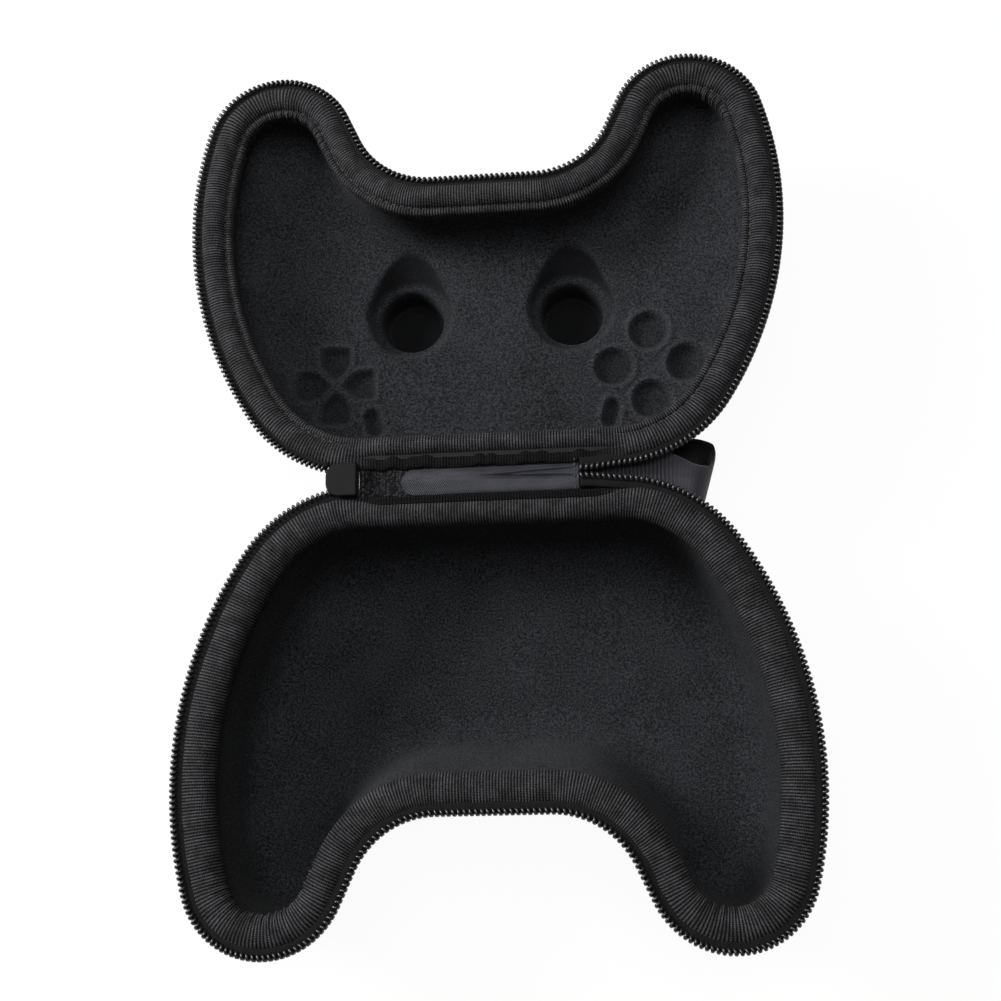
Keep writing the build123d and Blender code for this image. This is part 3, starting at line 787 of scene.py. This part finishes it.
def make_lining(half, outline, lining, material):
    """Lining of one half: the bowl's grid, and for the lid its recesses, with a slight unevenness.

    The lid's floor climbs smoothly towards the grips, and the climb fades up the walls.
    """
    if half == "lid":
        floor = lining.lid_floor
        points = lining_points(outline, lining, floor, 0.0, 66)
    else:
        points = lining_points(outline, lining, lining.base_floor, lining.notch_slope, 40)
    x, y, z = np.moveaxis(points, -1, 0)
    uneven = waves(x, y, np.random.default_rng(4), 5, 0.06, 0.015)
    # Share of painted shade (above 0) and painted highlight (below 0) for the fleece's colour.
    pressed = 0 * uneven
    if half == "lid":
        for side in (-1, 1):
            pressed = np.maximum(pressed, stick_recess(points, lining, side, floor))
        depth, marked, lip = control_marks(x, y, lining)
        z -= depth
        # Painted shade inside the pad, button and pill marks, and painted highlight on their lips.
        pressed = np.maximum(pressed, 0.35 * marked) - 0.45 * lip * (1 - pressed)
        climb = soft_step(np.abs(x), 0.042, 0.080) * soft_step(y, 0.036, 0.078)
        z += lining.grip_rise * climb * (1 - soft_step(z, floor + 0.001, lining.wall_start))
    z += 0.00015 * uneven
    piece = surface(f"{half}_lining_fleece", in_half(points, half), wrap_columns=True, flip=half == "base",
                    pressed=pressed)
    finish_piece(weld(piece), half, material, f"{half}_lining")


def shared_counts(counts, total):
    """The counts scaled to add up to a total, with the rounding left to the largest."""
    scaled = [max(2, round(count * total / sum(counts))) for count in counts]
    scaled[scaled.index(max(scaled))] += total - sum(scaled)
    return scaled


def bow(middle, foot, half, high, start, stop, count, power=1.0):
    """Part of an ellipse: middle plus half times cos, and foot plus high times sin to a power."""
    turn = np.linspace(start, stop, count)
    return np.stack([middle + half * np.cos(turn), foot + high * np.sin(turn) ** power], axis=-1)


def tube_section(half, rim, at_hinge):
    """Section of a binding as (inset, height), from its outer foot over the crown to its inner foot.

    The base's is one half ellipse. The lid's is a narrower one and a small second ellipse
    beyond a stitched groove. At the hinge the lid's has a low fold before the tube instead,
    and the base's a flat ledge. Both end in a quarter ellipse that turns under at the lining.
    """
    inner = rim.tape_inset + rim.binding_width
    outer = rim.tape_inset - (0.0 if at_hinge else rim.bulge)
    leg_z = np.linspace(BINDING_FOOT, BINDING_FOOT + 0.0045, LEG_ROWS, endpoint=False)
    leg_out = soft_step(leg_z, BINDING_FOOT, BINDING_FOOT + 0.0045)
    leg = np.stack([rim.tape_inset + (outer - rim.tape_inset) * leg_out, leg_z], axis=-1)
    parts = [leg]
    crown_high, crown_start, crown_stop, crown_rows, power = 0.0041, math.pi, 0, 38, 0.9
    crown_half = (inner - outer) / 2
    if half == "base" and at_hinge:
        parts.append(np.linspace((outer, RIM_TOP - 0.0016), (outer + rim.hinge_shift, RIM_TOP - 0.0014),
                                 FOLD_ROWS["base"]))
        inner += 0.25 * rim.hinge_shift
        crown_start, crown_rows = math.radians(144), 30
        crown_half = (inner - outer - rim.hinge_shift) / (1 - math.cos(crown_start))
    elif half == "lid" and at_hinge:
        fold_inset, fold_drop, fold_half, fold_high = 0.0038, 0.0023, 0.0019, 0.0007
        parts.append(bow(fold_inset, RIM_TOP - fold_drop, fold_half, fold_high,
                         math.radians(205), math.radians(25), FOLD_ROWS["lid"]))
        crown_high, crown_start, crown_rows, power = 0.0036, math.radians(172), 26, 1.0
        crown_half = (inner - fold_inset - fold_half - 0.0002) / 2
    elif half == "lid":
        crown_high, crown_stop, crown_rows, power = 0.0030, math.radians(7), 26, 1.0
        crown_half = 0.00285 + rim.bulge / 2
    on_lid = half == "lid" and not at_hinge
    crown_middle = outer + crown_half if on_lid else inner - crown_half
    parts.append(bow(crown_middle, RIM_TOP - crown_high, crown_half, crown_high,
                     crown_start, crown_stop, crown_rows, power))
    hem_z = RIM_TOP - crown_high - 0.0006
    if on_lid:
        ridge_half, ridge_high, ridge_z = 0.0012, 0.00115, RIM_TOP - 0.0032
        parts.append(bow(inner - ridge_half, ridge_z, ridge_half, ridge_high, math.radians(152), 0, 12))
        hem_z = ridge_z - 0.0008
    hem_half = 0.0017
    hem = bow(inner - hem_half, hem_z, hem_half, hem_z - BINDING_FOOT, 0, -math.pi / 2, 10)
    return np.concatenate([*parts, hem])


def hinge_closeness(points):
    """1 along the straight edge at the hinge, falling to 0 round its corners."""
    beside = soft_step(np.abs(points[..., 0]), 0.030, 0.046)
    beyond = soft_step(points[..., 1], 0.012, 0.020)
    return (1 - beside) * (1 - beyond)


def horn_closeness(points, outline):
    """1 on the round end of either horn, falling to 0 beside it."""
    away = np.hypot(np.abs(points[..., 0]) - outline.horn_x, points[..., 1] - outline.horn_y)
    upper = soft_step(points[..., 1], outline.horn_y - 0.012, outline.horn_y + 0.004)
    return upper * (1 - soft_step(away, outline.horn_radius, outline.horn_radius + 0.004))


def gathers(along, pitch, swing, slow, second, phase):
    """Sine of a pitch whose phase swings with a slow sine, and 0.6 of a second one."""
    swung = along * math.tau / pitch + swing * np.sin(along * math.tau / slow)
    return np.sin(swung) + 0.6 * np.sin(along * math.tau / second + phase)


def make_binding(half, outline, rim, material):
    """Elastic binding: the section carried round the outline, and puckered inside the horns.

    Seeded sines along the run make its crown a little uneven. At the hinge the lid's fold
    is gathered by two more sines. The point attribute "gathered" marks fold and ledge, where
    the elastic's colour is darkened as painted shade.
    """
    section = tube_section(half, rim, False)
    change = tube_section(half, rim, True) - section
    edge = edge_loop(outline, section[:, 0], 0.0, edge_counts(outline, 0.008, outline.step))
    at_hinge = hinge_closeness(edge)
    edge[..., :2] += edge[..., 2:] * (change[:, :1] * at_hinge)[..., None]
    run = run_lengths(edge[len(section) // 2, :, :2])
    along = run[:-1]
    rng = np.random.default_rng(7 if half == "lid" else 8)
    swell = sum(np.sin(k * (along / run[-1] * math.tau) + rng.uniform(0, math.tau)) * 0.6 ** i
                for i, k in enumerate((9, 17, 31, 53)))
    across = np.linspace(0, 1, len(section))[:, None]
    crown = np.sin(np.clip((across - 0.12) / 0.6, 0, 1) * math.pi)
    points = np.dstack([edge[..., :2], section[:, 1:] + change[:, 1:] * at_hinge + 0.00012 * crown * swell])
    pucker = 0.00022 * horn_closeness(points, outline) * soft_step(across, 0.42, 0.72)
    depth = pucker * gathers(along, 0.0021, 1.5, 0.0077, 0.0034, 2.0)
    points[..., 2] += depth
    points[..., :2] += edge[..., 2:] * depth[..., None]
    order = np.arange(len(section))[:, None]
    # Rows of the fold and ledge, which the elastic finish darkens as painted shade.
    in_fold = at_hinge * ((order >= LEG_ROWS) & (order < LEG_ROWS + FOLD_ROWS[half]))
    if half == "lid":
        gather = in_fold * gathers(along, 0.0117, 1.4, 0.031, 0.0052, 0.8)
        points[..., 2] += 0.00013 * gather
        points[..., :2] += edge[..., 2:] * (0.0003 * gather)[..., None]
    uv = run_uv(run, run_lengths(section, closed=False))
    piece = surface(f"{half}_binding_elastic", in_half(points, half), uv, wrap_columns=True,
                    flip=half == "base", gathered=in_fold)
    finish_piece(piece, half, material, f"{half}_binding")


def row_span(outline, rim, half):
    """The outline, its run lengths, and where along them a zip row starts and ends."""
    counts = edge_counts(outline, 0.0, outline.step)
    edge = edge_loop(outline, 0.0, 0.0, counts)[0]
    run = run_lengths(edge[:, :2])
    back = slice(0, sum(counts[:2]))
    end_x = rim.lid_row_end if half == "lid" else rim.base_row_end
    start, end = np.interp([rim.row_start, end_x], edge[back, 0], run[back])
    return edge, run, start, run[-1] - end


def along_row(edge, run, places):
    """Points and inward normals at given distances along a closed outline.

    Right of the facing both rows are drawn together to the hinge line.
    """
    closed = np.vstack([edge, edge[:1]])
    spots = np.stack([np.interp(places, run, closed[:, k]) for k in range(4)], axis=-1)
    joined = 1 - soft_step(spots[:, 0], 0.028, 0.040)
    joined = joined * (spots[:, 0] > 0) * (spots[:, 1] < 0.012)
    spots[:, :2] -= spots[:, 2:] * (HINGE_DRAW * joined)[:, None]
    return spots


def inside_of(spots, inset, height):
    """Places at an inset from spots on the outline, along their inward normals, and at a height."""
    x, y, normal_x, normal_y = spots.T
    return np.stack(np.broadcast_arrays(x + normal_x * inset, y + normal_y * inset, height), axis=-1)


def make_tape(half, outline, rim, material):
    """Zip tape: a flat flange under the coil that folds down into the sewn leg, as one closed section.

    The section runs over the flange and down the leg's outside, and back inside it one
    thickness away.
    """
    edge, run, start, end = row_span(outline, rim, half)
    places = np.linspace(start, end, int((end - start) / 0.0008))
    thick = rim.tape_thickness
    top = rim.tape_top
    under = top - thick
    foot = top - rim.tape_drop
    outer = rim.tape_inset
    section = np.array([
        (0.0008, top), (0.0024, top + 0.0002), (outer - 0.0008, top + 0.0001), (outer, top), (outer, under),
        (outer, foot), (outer - thick / 2, foot - 0.0001), (outer - thick, foot),
        (outer - thick, under - 0.0006), (outer - thick - 0.0005, under), (0.0024, under), (0.0008, under)])
    wave = 0.00006 * np.sin(places * math.tau / 0.011) + 0.00005 * np.sin(places * math.tau / 0.0047)
    points = inside_of(along_row(edge, run, places), section[:, :1], section[:, 1:] + wave)
    around = run_lengths(section)
    piece = strip(f"{half}_zip_tape_woven", in_half(points, half), places, around, half == "lid")
    finish_piece(piece, half, material, f"{half}_zip_tape")


def capped(points):
    """Closes both ends of a strip or tube by one more column at each end.

    There each point meets the one opposite it in the section, halfway between them.
    """
    ends = (points[:, [0, -1]] + points[::-1][:, [0, -1]]) / 2
    return np.concatenate([ends[:, :1], points, ends[:, 1:]], axis=1)


def make_coil(half, outline, rim, material):
    """Nylon coil: a thread wound round a flat core, one turn a pitch, carried along the tape's edge.

    Turn angle a gives inset = middle - half width times cos a and height = middle + half
    height times sin a, both to the power 0.7 with their sign kept, and the thread swells
    towards the outer side, where it couples.
    """
    edge, run, start, end = row_span(outline, rim, half)
    turns = int((end - start) / rim.coil_pitch)
    per_turn = 12
    angle = np.arange(turns * per_turn + 1) * math.tau / per_turn
    places = start + (angle + 0.25 * np.sin(2 * angle + 0.6)) / math.tau * ((end - start) / turns)
    core = along_row(edge, run, np.clip(places, 0, run[-1]))
    thread = rim.thread_radius
    middle = rim.chain_width / 2
    flat_cos, flat_sin = [np.sign(part) * np.abs(part) ** 0.7 for part in (np.cos(angle), np.sin(angle))]
    height = (CHAIN_TOP + CHAIN_FOOT) / 2 + ((CHAIN_TOP - CHAIN_FOOT) / 2 - thread) * flat_sin
    line = inside_of(core, middle - (middle - thread) * flat_cos, height)
    forward = unit(np.gradient(line, axis=0))
    tangent = np.stack([core[:, 3], -core[:, 2], 0 * core[:, 0]], axis=-1)
    side = unit(tangent - forward * np.sum(tangent * forward, axis=1, keepdims=True))
    ring = RING[:, None, None]
    around = np.cos(ring) * side + np.sin(ring) * np.cross(forward, side)
    swell = thread * (1 + 0.22 * soft_step(np.cos(angle), 0.2, 1.0))
    points = capped(line + around * swell[:, None])
    piece = surface(f"{half}_zip_coil", in_half(points, half), wrap_rows=True, flip=half == "base")
    finish_piece(weld(piece), half, material, f"{half}_zip_teeth")


def beads(name, places, across, length, width, height):
    """Small closed stitches: a level six sided spindle at each place, square to its across direction.

    Ring radius follows the square root of a half circle along the stitch.
    """
    stations = np.array([-1.0, -0.72, 0.0, 0.72, 1.0])[:, None]
    girth = np.sqrt(np.clip(1 - stations**2, 0, 1))
    ring = RING[:, None, None]
    up = np.array([0.0, 0.0, 1.0])
    along = np.cross(across, up)[:, None, None] * length / 2
    radial = np.cos(ring) * across[:, None, None] * width / 2 + np.sin(ring) * up * height / 2
    points = places[:, None, None] + stations * along + radial * girth
    index = np.arange(points.size // 3).reshape(points.shape[:3])
    closed = np.concatenate([index, index[:, :1]], axis=1)
    quads = np.stack([closed[:, :-1, :-1], closed[:, :-1, 1:], closed[:, 1:, 1:], closed[:, 1:, :-1]],
                     axis=-1)
    mesh = bpy.data.meshes.new(name)
    mesh.from_pydata(points.reshape(-1, 3), [], quads.reshape(-1, 4))
    mesh.polygons.foreach_set("use_smooth", np.ones(len(mesh.polygons), bool))
    return weld(placed(name, mesh), turn_out=True)


def make_stitches(half, outline, rim, material):
    """Stitches in the groove of the lid's binding, and round the outer leg of either tape."""
    rows = []
    if half == "lid":
        edge = edge_loop(outline, 0.00985, 0.0, edge_counts(outline, 0.008, outline.step))[0]
        run = run_lengths(edge[:, :2])
        rows.append(("lid_binding_stitches", "elastic_binding", edge, run, 0.0, run[-1],
                     0.0, RIM_TOP - 0.00255, 0.0004, 0.00034))
    rows.append((f"{half}_tape_stitches", "zip_tape", *row_span(outline, rim, half),
                 rim.tape_inset - rim.tape_thickness - 0.00002, rim.tape_top - rim.tape_drop + 0.0016,
                 0.00034, 0.0004))
    for name, slot_name, edge, run, start, end, inset, height, width, thick in rows:
        number = int((end - start) / rim.stitch_pitch)
        spots = along_row(edge, run, start + (np.arange(number) + 0.5) * (end - start) / number)
        if slot_name == "elastic_binding":
            spots = spots[hinge_closeness(spots[:, :2]) < 0.02]
        places = in_half(inside_of(spots, inset, height), half)
        inward = in_half(np.pad(spots[:, 2:], ((0, 0), (0, 1))), half)
        finish_piece(beads(name, places, inward, 0.0017, width, thick), half, material)


def make_gusset(hinge, material):
    """Knit gusset: a strip between the rims with a leg down each side, one thickness deep.

    Across it the section goes up the base's leg, over with a slight sag and down the
    lid's leg, and comes back one thickness inside.
    """
    low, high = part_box("hinge_gusset")
    top = high.z
    thick = hinge.gusset_thickness
    x = np.linspace(low.x, high.x + hinge.gusset_tail, 140)
    turn = np.linspace(0, 1, 21)
    leg = np.array([(low.y, low.z), (low.y, low.z + 0.002), (low.y, top - 0.0006)])
    over = np.stack([low.y + 0.0004 + (high.y - low.y - 0.0008) * turn,
                     top - 0.00035 * np.sin(turn * math.pi) ** 2], axis=-1)
    outer = np.concatenate([leg, over, leg[::-1] + [high.y - low.y, 0]])
    inner = np.stack([np.clip(outer[:, 0], low.y + thick, high.y - thick),
                      np.minimum(outer[:, 1], top - thick)], axis=-1)
    section = np.concatenate([outer, inner[::-1]])
    upper = soft_step(section[:, 1:], top - 0.002, top)
    tail = soft_step(x, high.x - 0.0008, high.x + 0.0008)
    z = section[:, 1:] + 0.00015 * np.sin(x * math.tau / 0.0063) * upper - 0.0009 * tail
    points = np.stack(np.broadcast_arrays(x, section[:, :1], z), axis=-1)
    piece = strip("hinge_gusset_knit", points, x, run_lengths(section), True)
    finish_piece(piece, None, material, "hinge_gusset", bend_z=top)


def make_facing(hinge, material):
    """Satin facing: a puffed strip with a round left end, long wrinkles and two creases near its right end.

    Across the strip the puff is one minus the fourth power of the share of its half width.
    """
    low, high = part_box("hinge_facing")
    half_width = (high.y - low.y) / 2 * hinge.facing_share
    x = np.linspace(low.x, high.x, 150)
    round_end = np.clip((low.x + hinge.facing_round - x) / hinge.facing_round, 0, 1)
    v = np.linspace(-1, 1, 41)[:, None]
    y = v * (half_width * np.sqrt(np.clip(1 - round_end**2, 0.0004, 1)))
    along = x + 0 * v
    end_fade = soft_step(x, low.x, low.x + 0.002) * (1 - soft_step(x, high.x - 0.001, high.x))
    folds = 0.00016 * waves(along * 0.18, y, np.random.default_rng(3), 5, 0.012, 0.004)
    for y_place, x_place, reach, bend in ((0.0019, 0.0165, 0.011, 0.05), (0.0005, 0.0135, 0.014, -0.04)):
        off = y - y_place - bend * (along - x_place)
        crease = 0.6 * np.exp(-(((off - 0.0009) / 0.0006) ** 2)) - np.exp(-((off / 0.00035) ** 2))
        folds = folds + 0.00055 * crease * np.exp(-(((along - x_place) / reach) ** 4))
    top = low.z + 0.0003 + (1 - v**4) * (0.0006 + folds * end_fade)
    sides = [np.stack([along, y - hinge.facing_shift, z], axis=-1) for z in (top, low.z + 0 * y)]
    points = np.concatenate([sides[0], sides[1][::-1]])
    widths = np.concatenate([v, v[::-1], v[:1]])[:, 0] * half_width
    piece = strip("hinge_facing_satin", points, x, widths, False)
    finish_piece(piece, None, material, "hinge_facing", bend_z=low.z)


def make_seams(material):
    """Stitches across the hinge at the left end of the gusset and beside the facing's right end."""
    low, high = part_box("hinge_gusset")
    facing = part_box("hinge_facing")[1]
    y = np.arange(low.y + 0.001, high.y - 0.0005, 0.0017)
    places = np.concatenate([
        np.stack(np.broadcast_arrays(x, y, z), axis=-1)
        for x, z in ((low.x + 0.0012, high.z + 0.00015), (facing.x - 0.0012, facing.z + 0.0001))])
    across = np.zeros_like(places) + [1, 0, 0]
    piece = beads("hinge_seam_stitches", places, across, 0.0013, 0.0004, 0.0003)
    finish_piece(piece, None, material, bend_z=high.z)


def make_strap(hinge, material):
    """Hand strap: webbing that leaves the hinge, turns round at its free end and comes back below.

    The centre line is a straight run, a half circle and a run that climbs back smoothly.
    Across it the width grows smoothly from the gathered root, the fold slants with the
    distance from the middle, and the lower run lies a little towards the lid. Near its end
    the upper run is drawn in on the lid's side, so that the loop shows its inside.
    """
    low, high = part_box("hand_strap")
    thick = hinge.strap_thickness
    radius = (high.z - low.z) / 2 - thick / 2
    end_x = high.x - radius - thick / 2
    root_x = low.x + thick / 2 + 0.0008
    root_z = high.z - thick / 2
    top = np.linspace((root_x, root_z), (end_x, root_z), 90, endpoint=False)
    bend = bow(end_x, root_z - radius, radius, radius, math.pi / 2, -math.pi / 2, 40)
    back = np.linspace(0, 1, 60)[1:]
    lower_z = bend[-1, 1] + (root_z - 0.0017 - bend[-1, 1]) * soft_step(back, 0.1, 1.0)
    line = np.concatenate([top, bend, np.stack([end_x + (root_x - end_x) * back, lower_z], axis=-1)])
    x, z = line.T
    along = run_lengths(line, closed=False)
    gone = along / along[-1]
    forward = unit(np.gradient(line, axis=0))
    spread = soft_step(x, hinge.strap_spread_from, hinge.strap_spread_to)
    half = (hinge.strap_root_width + (hinge.strap_width - hinge.strap_root_width) * spread) / 2
    shift = (0.0058 * soft_step(gone, 0.45, 0.62) - 0.0014) * soft_step(x, 0.046, 0.060)
    upper_end = soft_step(x, 0.049, 0.062) * (1 - soft_step(gone, 0.43, 0.54))
    v = np.linspace(-1, 1, 25)[:, None]
    y = v * half * np.where(v > 0, 1 - hinge.strap_open * upper_end, 1) + shift - 0.0010 * upper_end
    ripple = 0.00022 * np.sin(v * 3.2 * math.pi) * (1 - spread)
    half_thick = thick / 2 * np.maximum(np.sqrt(np.clip(1 - np.abs(v) ** 8, 0, 1)), 0.05)
    sides = []
    slant = hinge.strap_skew * y * soft_step(x, 0.052, high.x)
    for face in (1, -1):
        away = face * half_thick + ripple
        side = [x - forward[:, 1] * away + slant, y, z + forward[:, 0] * away]
        sides.append(np.stack(side, axis=-1)[::face])
    widths = np.concatenate([v, v[::-1], v[:1]])[:, 0] * hinge.strap_width / 2
    # Marks the inner side, which the webbing finish darkens as painted shade.
    inner = np.repeat([0.0, 1.0], len(v))[:, None] + np.zeros(len(line) + 2)
    piece = strip("hand_strap_webbing", np.concatenate(sides), along, widths, False, inner=inner)
    finish_piece(piece, "base", material, "hand_strap")


class CaseOperator:
    """What all the case's operators share."""

    bl_options = {"REGISTER", "UNDO"}


class CASE_OT_linings(CaseOperator, bpy.types.Operator):
    """Fleece linings of both halves, with the recesses of the lid"""

    bl_idname = "case.linings"
    bl_label = "Linings"

    def execute(self, context):
        scene = context.scene
        material = fleece_finish(scene.case_colours)
        for half in ("base", "lid"):
            make_lining(half, scene.case_outline, scene.case_lining, material)
        return {"FINISHED"}


class CASE_OT_bindings(CaseOperator, bpy.types.Operator):
    """Ribbed elastic bindings over both rims"""

    bl_idname = "case.bindings"
    bl_label = "Bindings"

    def execute(self, context):
        scene = context.scene
        material = elastic_finish(scene.case_colours, scene.case_rim)
        for half in ("base", "lid"):
            make_binding(half, scene.case_outline, scene.case_rim, material)
        return {"FINISHED"}


class CASE_OT_zip(CaseOperator, bpy.types.Operator):
    """Zip tapes, coils and the stitches beside them"""

    bl_idname = "case.zip"
    bl_label = "Zip"

    def execute(self, context):
        scene = context.scene
        tape = weave_finish("tape", scene.case_colours.tape, 0.55, 0.85)
        coil = coil_finish(scene.case_colours)
        thread = thread_finish(scene.case_colours)
        for half in ("base", "lid"):
            make_tape(half, scene.case_outline, scene.case_rim, tape)
            make_coil(half, scene.case_outline, scene.case_rim, coil)
            make_stitches(half, scene.case_outline, scene.case_rim, thread)
        return {"FINISHED"}


class CASE_OT_hinge(CaseOperator, bpy.types.Operator):
    """Knit gusset, satin facing and their seams at the hinge"""

    bl_idname = "case.hinge"
    bl_label = "Fabric hinge"

    def execute(self, context):
        scene = context.scene
        make_gusset(scene.case_hinge, knit_finish(scene.case_colours))
        make_facing(scene.case_hinge, satin_finish(scene.case_colours))
        make_seams(thread_finish(scene.case_colours))
        return {"FINISHED"}


class CASE_OT_strap(CaseOperator, bpy.types.Operator):
    """Hand strap of ribbed webbing"""

    bl_idname = "case.strap"
    bl_label = "Hand strap"

    def execute(self, context):
        scene = context.scene
        make_strap(scene.case_hinge, webbing_finish(scene.case_colours, scene.case_hinge))
        return {"FINISHED"}


class CASE_OT_solids(CaseOperator, bpy.types.Operator):
    """Finishes of the solids that are shown as they are: shells, slider and puller"""

    bl_idname = "case.solids"
    bl_label = "Shells, slider and puller"

    def execute(self, context):
        colours = context.scene.case_colours
        nylon = weave_finish("nylon", colours.shell, 0.75, 0.72, source="Object", deep=0.12, sheen=0.05,
                             wobble=2.2)
        paint = paint_finish(colours)
        for node, material in (("base_shell", nylon), ("lid_shell", nylon),
                               ("zip_slider", paint), ("zip_puller", paint)):
            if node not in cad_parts:
                raise RuntimeError(f"the frame has no node {node}")
            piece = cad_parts[node]
            piece.data.materials.clear()
            piece.data.materials.append(material)
        return {"FINISHED"}


class CASE_OT_stage(CaseOperator, bpy.types.Operator):
    """Pale floor, soft lights and the camera at the photograph's angle"""

    bl_idname = "case.stage"
    bl_label = "Stage"

    def execute(self, context):
        scene = context.scene
        stage = scene.case_stage
        make_floor(stage)
        make_lamp("key", stage.key_place, stage.key_side, stage.key_power)
        make_lamp("fill", stage.fill_place, stage.fill_side, stage.fill_power)
        make_sky(scene, stage)
        make_camera(scene, stage)
        scene.view_settings.view_transform = "Standard"
        return {"FINISHED"}


def make_floor(stage):
    """Plain white floor: its colour takes shadow, and the camera sees it mostly as plain white."""
    half = stage.floor_size / 2
    mesh = bpy.data.meshes.new("floor")
    corners = [(-half, -half, 0), (half, -half, 0), (half, half, 0), (-half, half, 0)]
    mesh.from_pydata(corners, [], [range(4)])
    nodes = Nodes("floor", (0.8, 0.8, 0.8), 0.9, specular=0.2)
    white = nodes.add("ShaderNodeEmission", {"Color": (1, 1, 1, 1), "Strength": 1.0})
    path = nodes.add("ShaderNodeLightPath")
    seen = nodes.math("MAXIMUM", path.outputs["Is Camera Ray"], path.outputs["Is Glossy Ray"])
    both = nodes.add("ShaderNodeMixShader", {
        "Fac": nodes.math("MULTIPLY", seen, stage.floor_white), 1: nodes.shader.outputs["BSDF"],
        2: white.outputs["Emission"]})
    nodes.tree.links.new(both.outputs["Shader"], nodes.tree.nodes["Material Output"].inputs["Surface"])
    mesh.materials.append(nodes.material)
    placed("floor", mesh)


def make_lamp(name, place, side, power):
    """Square area lamp that looks at the middle of the case."""
    data = bpy.data.lights.new(name, "AREA")
    data.size = side
    data.energy = power
    lamp = placed(name, data)
    lamp.location = place
    lamp.rotation_euler = (-Vector(place)).to_track_quat("-Z", "Y").to_euler()


def make_sky(scene, stage):
    """Even light from all round, and plain white where the camera sees past the floor."""
    world = bpy.data.worlds.new("sky")
    world.use_nodes = True
    scene.world = world
    tree = world.node_tree
    background = tree.nodes["Background"]
    background.inputs["Color"].default_value = (1, 1, 1, 1)
    background.inputs["Strength"].default_value = stage.sky
    white = tree.nodes.new("ShaderNodeBackground")
    white.inputs["Color"].default_value = (1, 1, 1, 1)
    path = tree.nodes.new("ShaderNodeLightPath")
    both = tree.nodes.new("ShaderNodeMixShader")
    tree.links.new(path.outputs["Is Camera Ray"], both.inputs["Fac"])
    tree.links.new(background.outputs["Background"], both.inputs[1])
    tree.links.new(white.outputs["Background"], both.inputs[2])
    tree.links.new(both.outputs["Shader"], tree.nodes["World Output"].inputs["Surface"])


def make_camera(scene, stage):
    """Camera from its place, look and upward side: its axes are their cross products."""
    look = Vector(stage.camera_look).normalized()
    right = look.cross(Vector(stage.camera_up)).normalized()
    up = right.cross(look)
    data = bpy.data.cameras.new("camera")
    data.lens = stage.lens
    data.sensor_width = 36.0
    data.clip_start = 0.01
    camera = placed("camera", data)
    turned = Matrix((right, up, -look)).transposed().to_4x4()
    turned.translation = Vector(stage.camera_place)
    camera.matrix_world = turned
    scene.camera = camera


STEPS = (CASE_OT_linings, CASE_OT_bindings, CASE_OT_zip, CASE_OT_hinge, CASE_OT_strap,
         CASE_OT_solids, CASE_OT_stage)
GROUPS = (("case_outline", CaseOutline), ("case_rim", CaseRim), ("case_lining", CaseLining),
          ("case_hinge", CaseHinge), ("case_colours", CaseColours), ("case_stage", CaseStage))


class CASE_PT_panel(bpy.types.Panel):
    """Steps and sizes of the carrying case"""

    bl_label = "Carrying case"
    bl_idname = "CASE_PT_panel"
    bl_space_type = "VIEW_3D"
    bl_region_type = "UI"
    bl_category = "Case"

    def draw(self, context):
        for step in STEPS:
            self.layout.operator(step.bl_idname)
        for name, group in GROUPS:
            box = self.layout.box()
            box.label(text=group.__name__)
            for prop in group.__annotations__:
                box.prop(getattr(context.scene, name), prop)


def register():
    for name, group in GROUPS:
        bpy.utils.register_class(group)
        setattr(bpy.types.Scene, name, bpy.props.PointerProperty(type=group))
    for step in STEPS:
        bpy.utils.register_class(step)
    bpy.utils.register_class(CASE_PT_panel)


def unregister():
    bpy.utils.unregister_class(CASE_PT_panel)
    for step in reversed(STEPS):
        bpy.utils.unregister_class(step)
    for name, group in reversed(GROUPS):
        delattr(bpy.types.Scene, name)
        bpy.utils.unregister_class(group)


def main():
    """Registers the add-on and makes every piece."""
    register()
    for step in STEPS:
        group, name = step.bl_idname.split(".")
        getattr(getattr(bpy.ops, group), name)()
    bpy.context.view_layer.update()


if __name__ == "__main__":
    main()
